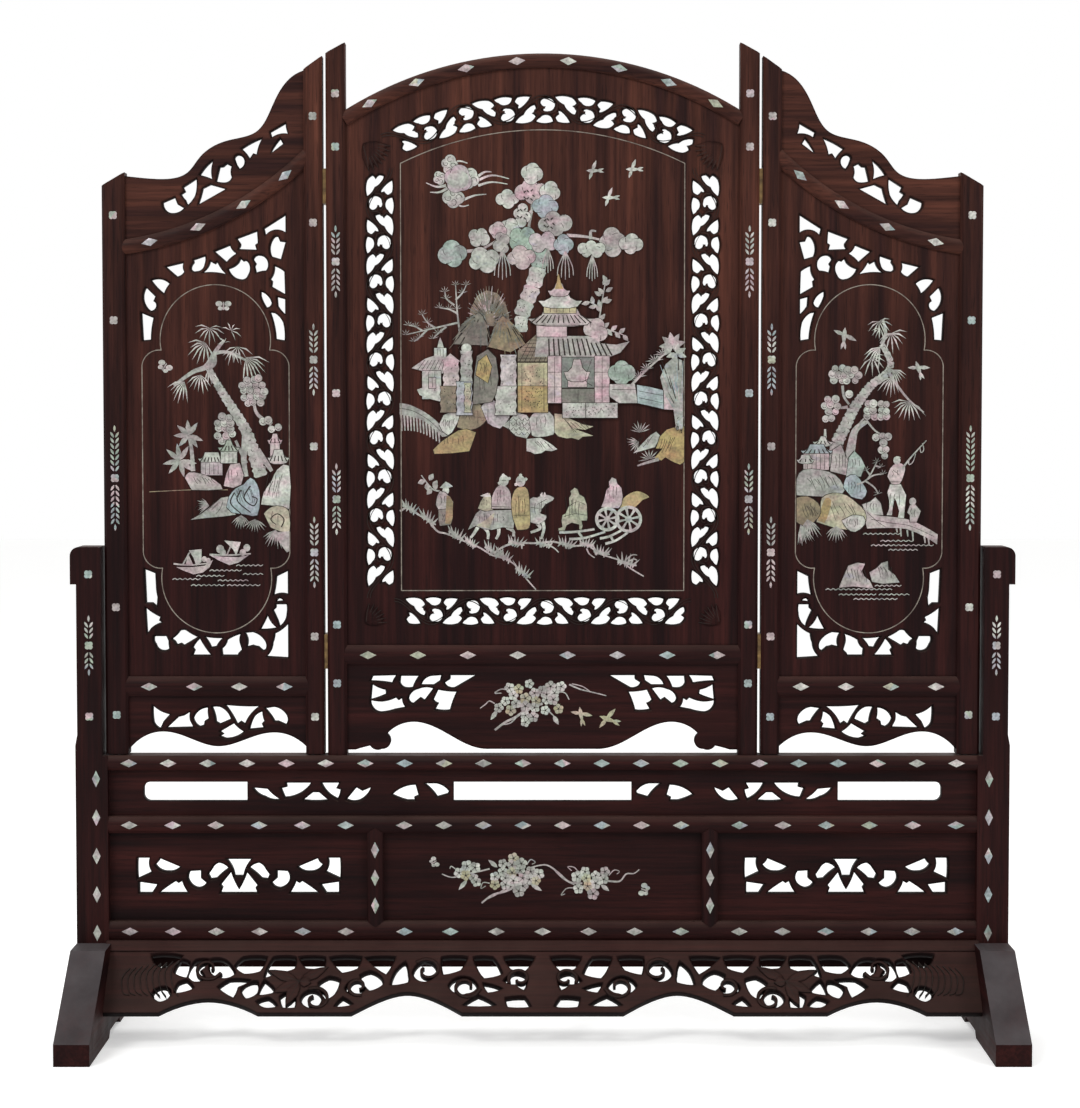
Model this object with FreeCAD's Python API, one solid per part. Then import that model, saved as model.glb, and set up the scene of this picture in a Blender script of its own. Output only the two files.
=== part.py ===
import FreeCAD, Part
import os
from math import asin, atan2, cos, degrees, hypot, pi, radians, sin, sqrt

# Three-leaf hardwood screen with pearl inlay, standing in a railed stand on shoe feet.
# Millimetres. +X is to the right, the front faces -Y, +Z is up, the origin is on the floor under the middle.
# Paired pieces are made on the right-hand side and mirrored.

V = FreeCAD.Vector

# Leaf widths, from which the stand takes its width
centre_width = 323.0
wing_width = 164.5
hinge_gap = 2.5
post_gap = 2.0

# Stiles, boards and their grooves
leaf_depth = 16.0
centre_stile = 14.5
wing_inner_stile = 14.0
wing_outer_stile = 17.0
stile_chamfer = 2.0
board_depth = 6.5
board_setback = 4.5
tongue = 3.0

# Moulded bars: a rounded nose with pointed ends, and a tenon behind
bar_bulge = 2.5
bar_nose = 5.0
bar_point = 4.0
bar_depth = 13.0
tenon_depth = 4.0
tenon_share = 0.6
leaf_tenon = 8.0

# Stand heights, stacked from the floor
foot_height = 69.0
rail_lift = 1.5
bottom_rail = 14.5
lower_bay = 67.0
middle_rail = 12.5
frieze_bay = 35.0
top_rail = 11.0

# Stand posts, bars and boards
post_depth = 27.0
post_lower = 24.0
post_upper = 18.5
post_step = 1.5
post_rise = 157.0
step_rise = 8.0
cap_height = 28.0
cap_overhang = 4.5
post_tenon = 30.0
stand_bar_depth = 22.0
stand_tenon = 12.0
muntin_width = 12.0
muntin_at = 126.0
stand_board = 7.0
stand_setback = 8.5
slot_sill = 11.0
slot_head = 9.5
slot_margin = 26.0
slot_ease = 0.35
slot_side = 78.0
slot_middle = 134.0
bay_margin = 20.0

# Feet, stretcher and the sloping front apron
foot_width = 26.0
foot_length = 242.0
foot_flat = 88.0
toe_height = 16.0
notch_length = 56.0
notch_height = 5.0
stretcher_height = 16.0
stretcher_depth = 16.0
stretcher_tenon = 5.0
stretcher_drop = 3.0
apron_run = 46.0
apron_fall = 44.0
apron_depth = 5.0
apron_trim = 0.8
apron_tongue = 4.0
apron_clear = 0.5

# Leaf heights above the stand's top rail
wing_lift = 0.8
centre_rail_low = 68.2
centre_rail = 14.6
arch_spring = 482.3
arch_rise = 41.7
arch_rail = 10.5
centre_stile_top = 532.0
stile_slope = 8.0
wing_rail_low = 43.4
wing_rail = 15.0
curve_low = 380.5
curve_high = 447.6
curve_radius = 246.0
curve_rail = 11.0
outer_stile_top = 436.1
inner_stile_top = 522.1
wing_slope = 10.0

# Fretwork and fields of the leaf boards
fret_width = 20.5
fret_pitch = 29.0
fret_margin = 15.0
fret_corner = 7.0
carve_width = 1.2
carve_depth = 2.0
field_radius = 244.0
wire_inset = 5.5
cartouche_half = 55.0
cartouche_round = 41.3
cartouche_drop = 7.5
head_below_curve = 69.0
tail_above_rail = 74.0

# Pearl and wire inlay
inlay_depth = 0.9
inlay_proud = 0.12
diamond_length = 12.5
diamond_height = 6.0
diamond_margin = 16.0
floret_petal = 1.7
leaf_length = 5.0
leaf_width = 1.7
leaf_pitch = 4.2
wire_width = 0.7

# Butt hinges and locating pegs
lower_hinge = 78.0
upper_hinge = 426.0
hinge_height = 26.0
hinge_plate = 1.2
plate_reach = 13.0
knuckle_radius = 2.5
knuckle_gap = 0.25
knuckle_standoff = 0.2
pin_radius = 1.2
pin_clearance = 0.05
screw_radius = 1.1
screw_head = 2.0
screw_bite = 5.0
screw_count = 3
peg_radius = 3.0
peg_in_rail = 7.0
peg_in_stile = 16.0
peg_clearance = 0.15

# Lines that follow from the sizes
half_centre = centre_width / 2
wing_in = half_centre + hinge_gap
wing_out = wing_in + wing_width
wing_board_in = wing_in + wing_inner_stile
wing_board_out = wing_out - wing_outer_stile
wing_mid = (wing_board_in + wing_board_out) / 2
post_in = wing_out + post_gap
stand_out = post_in + post_upper + post_step
bay_edge = stand_out - post_lower
foot_in = stand_out - foot_width
post_face = -post_depth / 2
stand_board_front = post_face + stand_setback
stand_board_back = stand_board_front + stand_board
leaf_front = -leaf_depth / 2
leaf_back = leaf_depth / 2
board_front = leaf_front + board_setback
board_back = board_front + board_depth
bottom_rail_low = foot_height + rail_lift
lower_bay_low = bottom_rail_low + bottom_rail
middle_rail_low = lower_bay_low + lower_bay
frieze_low = middle_rail_low + middle_rail
top_rail_low = frieze_low + frieze_bay
stand_top = top_rail_low + top_rail
wing_foot = stand_top + wing_lift
wing_rail_top = wing_foot + wing_rail_low + wing_rail
arch_half = half_centre - centre_stile
arch_radius = (arch_half ** 2 + arch_rise ** 2) / (2 * arch_rise)
arch_centre = (0.0, stand_top + arch_spring + arch_rise - arch_radius)
field_half = arch_half - fret_margin - fret_width
field_low = stand_top + centre_rail_low + centre_rail + fret_margin + fret_width
field_apex = arch_centre[1] + arch_radius - arch_rail - 2 * fret_margin - fret_width / 2
head_level = stand_top + curve_low - head_below_curve
tail_level = wing_rail_top + tail_above_rail
corner_bow = 1 - sqrt(0.5)
hinge_x = half_centre + hinge_gap / 2
hinge_y = leaf_back + knuckle_standoff + knuckle_radius


# Small drawing helpers; flat outlines lie in XZ

def box(x0, x1, y0, y1, z0, z1):
    return Part.makeBox(x1 - x0, y1 - y0, z1 - z0, V(x0, y0, z0))


def at(point):
    return V(point[0], 0, point[1])


def line(a, b):
    return Part.makeLine(at(a), at(b))


def arc(a, mid, b):
    return Part.Arc(at(a), at(mid), at(b)).toShape()


def spline(points):
    curve = Part.BSplineCurve()
    curve.interpolate([at(p) for p in points])
    return curve.toShape()


def chain(edges):
    return Part.Wire(Part.__sortEdges__(edges))


def polygon(points):
    return Part.Wire([line(a, b) for a, b in zip(points, points[1:] + points[:1])])


def slab(wire, y0, y1):
    face = Part.Face(wire)
    face.translate(V(0, y0, 0))
    return face.extrude(V(0, y1 - y0, 0))


def mirrored(shape):
    return shape.mirror(V(0, 0, 0), V(1, 0, 0))


def mixed(a, b, share):
    return (a[0] + (b[0] - a[0]) * share, a[1] + (b[1] - a[1]) * share)


def joined(shapes):
    return shapes[0].multiFuse(shapes[1:]).removeSplitter()


def spread(count, span):
    # Places spread evenly over a span about 0
    return [span * (i / (count - 1) - 0.5) for i in range(count)]


# Moulded bars, made along X with the nose at Y = 0 and the middle at Z = 0

def nose_radius(height):
    return ((height / 2) ** 2 + bar_bulge ** 2) / (2 * bar_bulge)


def nose_section(height, depth):
    half = height / 2
    front = Part.Arc(V(0, bar_bulge, -half), V(0, 0, 0), V(0, bar_bulge, half)).toShape()
    corners = [V(0, bar_bulge, half), V(0, depth, half), V(0, depth, -half), V(0, bar_bulge, -half)]
    sides = [Part.makeLine(a, b) for a, b in zip(corners, corners[1:])]
    return Part.Face(Part.Wire([front] + sides))


def moulded_bar(length, height, depth, tenon):
    half, reach, edge = length / 2, length / 2 + bar_point, height / 2
    section = nose_section(height, bar_nose)
    section.translate(V(-reach, 0, 0))
    tips = [(-reach, 0), (-half, edge), (half, edge), (reach, 0), (half, -edge), (-half, -edge)]
    nose = section.extrude(V(2 * reach, 0, 0)).common(slab(polygon(tips), 0, bar_nose))
    body = box(-half, half, bar_nose, depth, -edge, edge)
    middle = (bar_nose + depth) / 2
    stub = box(-half - tenon, half + tenon, middle - tenon_depth / 2, middle + tenon_depth / 2,
               -edge * tenon_share, edge * tenon_share)
    return joined([nose, body, stub])


def diamond(x, z, length, height):
    return polygon([(x - length / 2, z), (x, z + height / 2), (x + length / 2, z), (x, z - height / 2)])


def bar_diamonds(places, height):
    # Pearls let into the nose, following its round
    radius = nose_radius(height)
    pearls = []
    for x in places:
        start = V(x - diamond_length, radius, 0)
        skin = Part.makeCylinder(radius + inlay_proud, 2 * diamond_length, start, V(1, 0, 0))
        core = Part.makeCylinder(radius - inlay_depth, 2 * diamond_length, start, V(1, 0, 0))
        cutter = slab(diamond(x, 0, diamond_length, diamond_height), -1, radius / 2)
        pearls.append(cutter.common(skin).cut(core))
    return pearls


def placed(shape, x, y, z, upright=False):
    copy = shape.copy()
    if upright:
        copy.rotate(V(0, 0, 0), V(0, 1, 0), 90)
    copy.translate(V(x, y, z))
    return copy


def curved_bar(centre, radius, height, angle0, angle1):
    # A moulded bar bent round a centre, between two turns from straight up in degrees
    section = nose_section(height, bar_depth)
    section.translate(V(0, 0, radius))
    bar = section.revolve(V(0, 0, 0), V(0, 1, 0), angle1 - angle0)
    bar.rotate(V(0, 0, 0), V(0, 1, 0), angle0)
    bar.translate(V(centre[0], leaf_front, centre[1]))
    return bar


def curved_diamonds(centre, radius, height, angles):
    nose = nose_radius(height)
    skin = Part.makeTorus(radius, nose + inlay_proud, V(0, nose, 0), V(0, 1, 0))
    core = Part.makeTorus(radius, nose - inlay_depth, V(0, nose, 0), V(0, 1, 0))
    cutter = slab(diamond(0, radius, diamond_length, diamond_height), -1, nose / 2)
    pearl = cutter.common(skin).cut(core)
    pearls = []
    for angle in angles:
        copy = pearl.copy()
        copy.rotate(V(0, 0, 0), V(0, 1, 0), angle)
        copy.translate(V(centre[0], leaf_front, centre[1]))
        pearls.append(copy)
    return pearls


# Flat pearl for the stiles and posts

def plate(wire, face_y):
    return slab(wire, face_y - inlay_proud, face_y + inlay_depth)


def floret(x, z, face_y):
    petals = []
    for turn in range(4):
        angle = (turn + 0.5) * pi / 2
        spot = V(x + floret_petal * cos(angle), face_y - inlay_proud, z + floret_petal * sin(angle))
        petals.append(Part.makeCylinder(floret_petal * 1.02, inlay_depth + inlay_proud, spot, V(0, 1, 0)))
    return [joined(petals)]


def lens(base, tip, width):
    length = hypot(tip[0] - base[0], tip[1] - base[1])
    nx, nz = -(tip[1] - base[1]) / length * width / 2, (tip[0] - base[0]) / length * width / 2
    mid = mixed(base, tip, 0.5)
    there = arc(base, (mid[0] + nx, mid[1] + nz), tip)
    back = arc(tip, (mid[0] - nx, mid[1] - nz), base)
    return Part.Wire([there, back])


def sprig(x, z, pairs, face_y):
    # Herringbone leaves above and below a floret
    pearls = floret(x, z, face_y)
    lean, first = radians(32), 3 * floret_petal
    for way in (1, -1):
        for i in range(pairs):
            root = z + way * (first + i * leaf_pitch)
            for side in (1, -1):
                base = (x + side * leaf_width * 0.3, root)
                tip = (base[0] + side * leaf_length * sin(lean), root + way * leaf_length * cos(lean))
                pearls.append(plate(lens(base, tip, leaf_width), face_y))
        end = z + way * (first + pairs * leaf_pitch)
        pearls.append(plate(lens((x, end), (x, end + way * leaf_length), leaf_width), face_y))
    return pearls


# Fretwork: each hole is a ring of corners (x, z, bow). The side that follows a corner is bowed outwards by
# that share of its length, or inwards where the share is negative.

def evenly(bow, corners):
    return [(x, z, bow) for x, z in corners]


def way_out(corners):
    # 1 where a ring of corners runs anticlockwise, -1 where it runs clockwise
    area = sum(a[0] * b[1] - b[0] * a[1] for a, b in zip(corners, corners[1:] + corners[:1]))
    return 1 if area > 0 else -1


def widened(corners, distance):
    # The ring of corners with each side moved outwards
    out = way_out(corners)
    moved = []
    for a, b, c in zip(corners[-1:] + corners, corners, corners[1:] + corners[:1]):
        before, after = hypot(b[0] - a[0], b[1] - a[1]), hypot(c[0] - b[0], c[1] - b[1])
        first = (out * (b[1] - a[1]) / before, out * (a[0] - b[0]) / before)
        second = (out * (c[1] - b[1]) / after, out * (b[0] - c[0]) / after)
        share = distance / max(0.5, 1 + first[0] * second[0] + first[1] * second[1])
        moved.append((b[0] + (first[0] + second[0]) * share, b[1] + (first[1] + second[1]) * share, b[2]))
    return moved


def hole_wire(corners):
    out = way_out(corners)
    edges = []
    for a, b in zip(corners, corners[1:] + corners[:1]):
        mid, bow = mixed(a, b, 0.5), out * a[2]
        bend = (mid[0] + bow * (b[1] - a[1]), mid[1] - bow * (b[0] - a[0]))
        edges.append(arc(a, bend, b) if bow else line(a, b))
    return Part.Wire(edges)


def carved_mouth(corners, y0):
    # The sloping mouth of a hole, carved back from the front
    spare = 1.1
    back, front = hole_wire(corners), hole_wire(widened(corners, carve_width * spare))
    back.translate(V(0, y0 + carve_depth, 0))
    front.translate(V(0, y0 + carve_depth * (1 - spare), 0))
    return Part.makeLoft([back, front], True, True)


def sawn(board, holes, y0, y1):
    saws = [slab(hole_wire(corners), y0 - 1, y1 + 1) for corners in holes]
    return board.cut(saws).cut([carved_mouth(corners, y0) for corners in holes])


def drawn(holes, place):
    # Holes moved from the sheet they were drawn on to their places on a board
    return [[(*place((x, z)), bow) for x, z, bow in corners] for corners in holes]


def fitted(holes, sheet, low, high):
    # Holes drawn on a sheet of a given width and height, fitted between two opposite corners
    def place(point):
        return tuple(low[i] + (high[i] - low[i]) * point[i] / sheet[i] for i in (0, 1))
    return drawn(holes, place)


def straight(a, b):
    return lambda s: mixed(a, b, s)


def round_about(centre, radius, angle0, angle1):
    def place(s):
        angle = radians(angle0 + (angle1 - angle0) * s)
        return (centre[0] + radius * cos(angle), centre[1] + radius * sin(angle))
    return place


def border_holes(low, high, length):
    # What is left open round a stem that waves between the two edges, with a leaf and a curl in each hollow
    hollow = [(0.08, [(-0.70, 0.90), (-0.47, 0.36), (-0.33, -0.12), (-0.20, -0.30), (-0.17, 0.02),
                      (-0.27, 0.30), (-0.18, 0.52), (-0.30, 0.90)]),
              (0.16, [(-0.04, -0.60), (0.12, -0.78), (0.27, -0.55), (0.28, -0.10), (0.14, 0.16), (0.02, 0.10),
                      (0.08, -0.18), (-0.02, -0.30)]),
              (0.06, [(0.70, 0.90), (0.40, 0.90), (0.33, 0.60), (0.42, 0.34), (0.40, 0.10), (0.47, 0.16)]),
              (0.10, [(-0.16, 0.90), (0.26, 0.90), (0.20, 0.52), (0.05, 0.42), (-0.06, 0.62)])]
    waves = max(3, round(length / fret_pitch))
    holes = []
    for k in range(waves + 1):
        way = 1 if k % 2 else -1
        for bow, corners in hollow:
            spots = [((k + s) / waves, way * t) for s, t in corners]
            if min(s for s, _ in spots) > 0 and max(s for s, _ in spots) < 1:
                holes.append(evenly(bow, [mixed(low(s), high(s), (1 + t) / 2) for s, t in spots]))
    return holes


# Stand

def make_foot():
    half, flat = foot_length / 2, foot_flat / 2
    notch, lip = notch_length / 2, notch_height
    profile = [(-half, 0), (-notch, 0), (-notch + lip, lip), (notch - lip, lip), (notch, 0), (half, 0),
               (half, toe_height), (flat, foot_height), (-flat, foot_height), (-half, toe_height)]
    corners = [V(foot_in, y, z) for y, z in profile]
    return Part.Face(Part.makePolygon(corners + corners[:1])).extrude(V(foot_width, 0, 0))


def make_post():
    neck, top = post_in + post_upper, stand_top + post_rise
    cap_out, cap_low = neck + cap_overhang, top - cap_height
    ease = cap_overhang * 1.5
    knee = (cap_out - ease * corner_bow, top - ease * corner_bow)
    shoulder = stand_top + step_rise
    corners = [(cap_out, top - ease), (cap_out, cap_low), (neck, cap_low), (neck, shoulder + step_rise),
               (stand_out, shoulder), (stand_out, foot_height), (bay_edge, foot_height),
               (bay_edge, stand_top), (post_in, stand_top), (post_in, top), (cap_out - ease, top)]
    edges = [line(a, b) for a, b in zip(corners, corners[1:])]
    post = slab(Part.Wire(edges + [arc(corners[-1], knee, corners[0])]), post_face, -post_face)
    inset = post_lower / 5
    tenon = box(bay_edge + inset, stand_out - inset, post_face / 2, -post_face / 2,
                foot_height - post_tenon, foot_height)
    return joined([post, tenon])


def stand_bar(height, low):
    bar = moulded_bar(2 * bay_edge, height, stand_bar_depth, stand_tenon)
    return placed(bar, 0, post_face, low + height / 2)


def bay_board(x0, x1, z0, z1):
    return box(x0 - tongue, x1 + tongue, stand_board_front, stand_board_back, z0 - tongue, z1 + tongue)


def make_stretcher():
    top, half = foot_height - stretcher_drop, foot_in + stretcher_tenon
    return box(-half, half, -stretcher_depth / 2, stretcher_depth / 2, top - stretcher_height, top)


frieze_sheet = (140.0, 14.0)
frieze_holes = [
    [(4, 9.5, 0), (13.5, 8.5, -0.05), (22, 1, 0.1), (12, 3, 0.1)],
    [(26.5, 13, 0), (43, 13, 0.12), (25.5, 2.5, 0), (23, 9, 0), (27, 10, 0)],
    [(44.5, 6, 0), (48.5, 6, 0), (54.5, 0.5, 0.03), (38, 0.5, 0)],
    [(50.5, 13, 0), (62, 13, 0), (60, 9, 0), (63, 8, 0.05), (61, 1.5, 0.1)],
    [(74, 9.5, 0), (78, 7, 0), (83.5, 9.5, 0.1), (76, 0.5, 0.1), (67.5, 1, 0)],
    [(114, 11.5, 0), (116, 4, 0), (113, 2.5, 0), (113.5, 0.5, 0), (108.5, 0.5, 0.03), (98.5, 4.5, 0.1)],
    [(120.5, 12.5, 0), (128, 12.5, 0.1), (136.5, 7, 0.1), (135.5, 5, 0), (129, 3, -0.05)]]


def make_frieze():
    # A long board with three plain slots and a length of vine between each two
    low, high = frieze_low + slot_sill, top_rail_low - slot_head
    end = bay_edge - slot_margin
    board = bay_board(-bay_edge, bay_edge, frieze_low, top_rail_low)
    ease = (high - low) * slot_ease
    start, turn, bow = end - slot_side, end - ease, ease * corner_bow
    upper = arc((turn, high), (end - bow, high - bow), (end, high - ease))
    lower = arc((end, low + ease), (end - bow, low + bow), (turn, low))
    slot = Part.Wire([line((turn, low), (start, low)), line((start, low), (start, high)),
                      line((start, high), (turn, high)), upper,
                      line((end, high - ease), (end, low + ease)), lower])
    outer = slab(slot, stand_board_front - 1, stand_board_back + 1)
    middle = box(-slot_middle / 2, slot_middle / 2, stand_board_front - 1, stand_board_back + 1, low, high)
    vine = fitted(frieze_holes, frieze_sheet, (start, low), (slot_middle / 2, high))
    vine = sawn(board, vine, stand_board_front, stand_board_back)
    return vine.common(mirrored(vine)).cut([outer, mirrored(outer), middle])


bay_sheet = (152.0, 28.0)
bay_holes = [
    [(1, 28, 0), (9.5, 28, -0.12), (11, 17, 0), (1, 12, 0.02)],
    [(17.5, 27.5, 0), (32, 21, 0.12), (23.5, 17.5, 0.15), (14, 23, -0.1)],
    [(2, 9, 0), (15, 7, 0), (11, 0.5, 0), (2, 0.5, 0)],
    [(29, 9.5, 0), (31, 8, 0), (33.5, 9.5, -0.05), (38, 0.5, 0), (17, 0.5, 0.02)],
    [(40, 17.5, 0), (47.5, 18, 0), (47.5, 12, 0), (51.5, 8.5, 0.15), (45.5, 4.5, 0.15),
     (38.5, 11.5, 0.1)],
    [(61, 24, 0.1), (68, 20, -0.03), (59, 12, 0), (55, 11.5, 0), (53.5, 15, 0), (56.5, 19.5, 0.1)],
    [(70, 16.5, -0.04), (77.5, 0.5, 0), (62.5, 0.5, 0), (64, 4.5, 0), (62.5, 6.5, 0)]]
bay_middle_hole = [(67, 27, 0), (85, 27, -0.08), (79, 14, 0), (73, 14, -0.08)]


def make_side_bay():
    x0, x1 = muntin_at + muntin_width / 2, bay_edge
    board = bay_board(x0, x1, lower_bay_low, middle_rail_low)
    reflected = drawn(bay_holes, lambda point: (bay_sheet[0] - point[0], point[1]))
    low, high = lower_bay_low + bay_margin, middle_rail_low - bay_margin
    holes = fitted(bay_holes + reflected + [bay_middle_hole], bay_sheet, (x1 - bay_margin, low),
                   (x0 + bay_margin, high))
    return sawn(board, holes, stand_board_front, stand_board_back)


apron_sheet = (324.0, 64.5)
apron_edge = [(59.5, 0), (84, 14.5), (100, 18.5), (116, 14.5), (141, 0), (210, 0), (230, 9.5), (248, 12.5),
              (264, 9.5), (283, 0)]
apron_holes = [
    (0.06, [(291, 12.5), (288.5, 19), (283, 22), (270.5, 13)]),
    (0.06, [(273, 27), (266, 30), (265, 19), (269.5, 17)]),
    (0.08, [(263, 30), (259, 34), (253, 33), (256.5, 25.5), (251, 17), (258, 17.5)]),
    (0.10, [(247, 17), (246, 27), (236.5, 31), (231, 28), (239, 17)]),
    (0.06, [(228, 22), (222, 27), (211.5, 25), (208, 15), (223, 15)]),
    (0.14, [(287.5, 47.5), (283, 52), (277, 47.5), (278, 43.5), (283, 42.5)]),
    (0.06, [(271, 44), (261, 41), (265, 36), (269.5, 38)]),
    (0.04, [(239, 41), (229.5, 48), (227, 39.5), (218, 35), (232, 35)]),
    (0.10, [(222, 43), (219, 49), (212.5, 45), (213, 37.5), (218, 38.5)]),
    (0.05, [(209, 46), (200, 44), (206, 37)]),
    (0.06, [(206, 31), (199, 26.5), (186, 22.5), (186, 15), (200, 15)]),
    (0.08, [(209, 54.5), (205, 57.5), (198, 57), (203, 52)]),
    (0.05, [(193, 50), (191, 57.5), (184, 57.5), (184, 52), (189, 47)]),
    (0.16, [(177, 50.5), (175, 56), (168, 57), (165, 50), (171, 45.5)]),
    (0.05, [(180, 15), (176, 22), (164, 22), (164, 15)]),
    (0.06, [(165, 38), (160, 50), (155, 46), (152, 35), (158.5, 33)]),
    (0.05, [(157, 15), (149, 26), (139, 22.5), (137, 15)]),
    (0.14, [(144.5, 42.5), (139, 46.5), (133, 42), (134, 37.5), (140, 36.5)]),
    (0.08, [(134, 31), (128, 42), (120, 37.5), (121, 33), (128, 28)]),
    (0.04, [(131, 15), (117, 27), (112, 15)]),
    (0.05, [(152, 57.5), (142, 56), (147.5, 52)]),
    (0.05, [(111, 37), (101, 35), (101.5, 28), (103, 20), (108, 26)]),
    (0.14, [(95, 29), (89, 34), (82.5, 31.5), (81, 23), (88, 18.5)]),
    (0.05, [(74, 15), (73, 27.5), (62, 24), (58, 15)]),
    (0.12, [(68, 40), (63, 45), (57, 45), (50, 40.5), (55, 34), (63, 34)]),
    (0.05, [(48, 22), (43, 31), (32, 28), (38, 15), (50, 15)]),
    (0.05, [(43, 38.5), (40, 44), (30.5, 42.5)]),
    (0.10, [(26.5, 35), (19, 37), (14.5, 41), (13.5, 32), (20.5, 29.5)]),
    (0.05, [(27, 15), (23, 23), (14, 25), (8, 15)]),
    (0.04, [(57.5, 57), (35.5, 57), (47.5, 50)]),
    (0.04, [(26, 52), (25, 57), (11, 57), (14, 51)])]


def make_apron():
    # Drawn flat with its top edge at Z = 0 and its front at Y = 0, then leaned out from the post faces
    slope = hypot(apron_run, apron_fall)
    end = foot_in + apron_tongue
    wide, tall = foot_in / apron_sheet[0], slope / apron_sheet[1]
    profile = [(x * wide, -slope + rise * tall) for x, rise in apron_edge]
    edges = [line((0, 0), (end, 0)), line((end, 0), (end, -slope)), line((end, -slope), profile[-1]),
             spline(profile[5:][::-1]), line(profile[5], profile[4]), spline(profile[:5][::-1]),
             line(profile[0], (0, -slope)), line((0, -slope), (0, 0))]
    rings = fitted([evenly(*hole) for hole in apron_holes], apron_sheet, (0, 0), (foot_in, -slope))
    holes = [widened(corners, apron_trim) for corners in rings]
    half = sawn(slab(Part.Wire(edges), 0, apron_depth), holes, 0, apron_depth)
    board = joined([half, mirrored(half)])
    board.rotate(V(0, 0, 0), V(1, 0, 0), -degrees(atan2(apron_run, apron_fall)))
    board.translate(V(0, post_face, bottom_rail_low - apron_clear))
    return board


# Leaves

def stile(x0, x1, low, high_left, high_right):
    # An upright with eased front edges and a slanted top
    cut = stile_chamfer
    section = [(x0, leaf_back), (x1, leaf_back), (x1, leaf_front + cut), (x1 - cut, leaf_front),
               (x0 + cut, leaf_front), (x0, leaf_front + cut)]
    corners = [V(x, y, low) for x, y in section]
    height = max(high_left, high_right) - low
    upright = Part.Face(Part.makePolygon(corners + corners[:1])).extrude(V(0, 0, height))
    outline = polygon([(x0, low), (x1, low), (x1, high_right), (x0, high_left)])
    return upright.common(slab(outline, leaf_front, leaf_back))


def leaf_bar(x0, x1, low, height):
    bar = moulded_bar(x1 - x0, height, bar_depth, leaf_tenon)
    return placed(bar, (x0 + x1) / 2, leaf_front, low + height / 2)


def wire_ring(outline):
    # A fine wire let into the board along an outline
    outer = Part.Face(outline.makeOffset2D(wire_width / 2))
    band = outer.cut(Part.Face(outline.makeOffset2D(-wire_width / 2)))
    band.translate(V(0, board_front - inlay_proud, 0))
    return band.extrude(V(0, inlay_proud + inlay_depth / 2, 0))


def make_arch_rail():
    half_angle = degrees(asin((arch_half + bar_point) / arch_radius))
    return curved_bar(arch_centre, arch_radius - arch_rail / 2, arch_rail, -half_angle, half_angle)


def arched_outline(half, low, apex, radius):
    shoulder = apex - radius + sqrt(radius ** 2 - half ** 2)
    return Part.Wire([line((-half, low), (half, low)), line((half, low), (half, shoulder)),
                      arc((half, shoulder), (0, apex), (-half, shoulder)),
                      line((-half, shoulder), (-half, low))])


def centre_field():
    return arched_outline(field_half - wire_inset, field_low + wire_inset, field_apex - wire_inset,
                          field_radius - wire_inset)


def make_centre_board():
    under = arch_radius - arch_rail + tongue
    board = slab(arched_outline(arch_half + tongue, stand_top + centre_rail_low + centre_rail - tongue,
                                arch_centre[1] + under, under), board_front, board_back)
    shoulder = field_apex - field_radius + sqrt(field_radius ** 2 - field_half ** 2)
    tall, out = shoulder - fret_corner - field_low, field_half + fret_width
    holes = []
    for side in (1, -1):
        inner, outer = side * field_half, side * out
        holes += border_holes(straight((inner, field_low), (inner, field_low + tall)),
                              straight((outer, field_low), (outer, field_low + tall)), tall)
    base = field_low - fret_width
    holes += border_holes(straight((-field_half, base), (field_half, base)),
                          straight((-field_half, field_low), (field_half, field_low)), 2 * field_half)
    hub = (0.0, field_apex - field_radius)
    half_angle = degrees(asin(field_half / field_radius))
    rim = field_radius + fret_width
    holes += border_holes(round_about(hub, field_radius, 90 + half_angle, 90 - half_angle),
                          round_about(hub, rim, 90 + half_angle, 90 - half_angle), 2 * field_half)
    return sawn(board, holes, board_front, board_back)


centre_apron_sheet = (147.0, 68.2)
centre_apron_holes = [
    [(127.5, 9, 0), (110.5, 8.5, 0), (112.5, 11.5, 0), (113.5, 14, -0.02), (129, 12.5, 0)],
    [(106.5, 9, 0), (93.5, 9, -0.05), (98, 17.5, 0.05), (103.5, 17.5, 0.12), (107, 14, 0)],
    [(76.5, 8.5, 0), (77.5, 12.5, 0), (82, 15.5, 0), (91, 15.5, 0.15), (83.5, 9, 0)],
    [(69.5, 8.5, 0), (50.5, 8.5, 0), (66, 17.5, 0.08), (69.5, 17.5, 0.15), (73.5, 14, 0),
     (69.5, 11.5, -0.1)],
    [(128, 15.5, -0.05), (118.5, 19.5, 0), (118, 22.5, 0.02), (129, 26.5, 0)],
    [(129, 27.5, -0.03), (121, 28.5, -0.05), (110.5, 25.5, 0), (108.5, 27.5, 0), (106, 26, -0.1),
     (103.5, 32.5, 0), (111.5, 34, 0.03), (121, 36, 0.15), (128, 32, 0.1)],
    [(82.5, 18.5, 0), (89, 27, 0), (92, 25, 0), (97.5, 29.5, 0.2), (100.5, 25.5, 0.15), (93.5, 19, 0.1)],
    [(78.5, 19.5, -0.03), (65, 21, -0.03), (70, 34.5, 0.05), (80.5, 34, 0), (78, 29.5, 0.1),
     (82, 27, 0)]]
centre_apron_edge = [(39, 64), (58, 60), (78, 49), (98, 43.5), (112, 48), (117, 52.5)]
centre_apron_scroll = [(117, 52.5), (114.5, 59.5), (121, 64), (126, 64.5), (130, 61.5), (136, 63),
                       (141, 64.5)]


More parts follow.
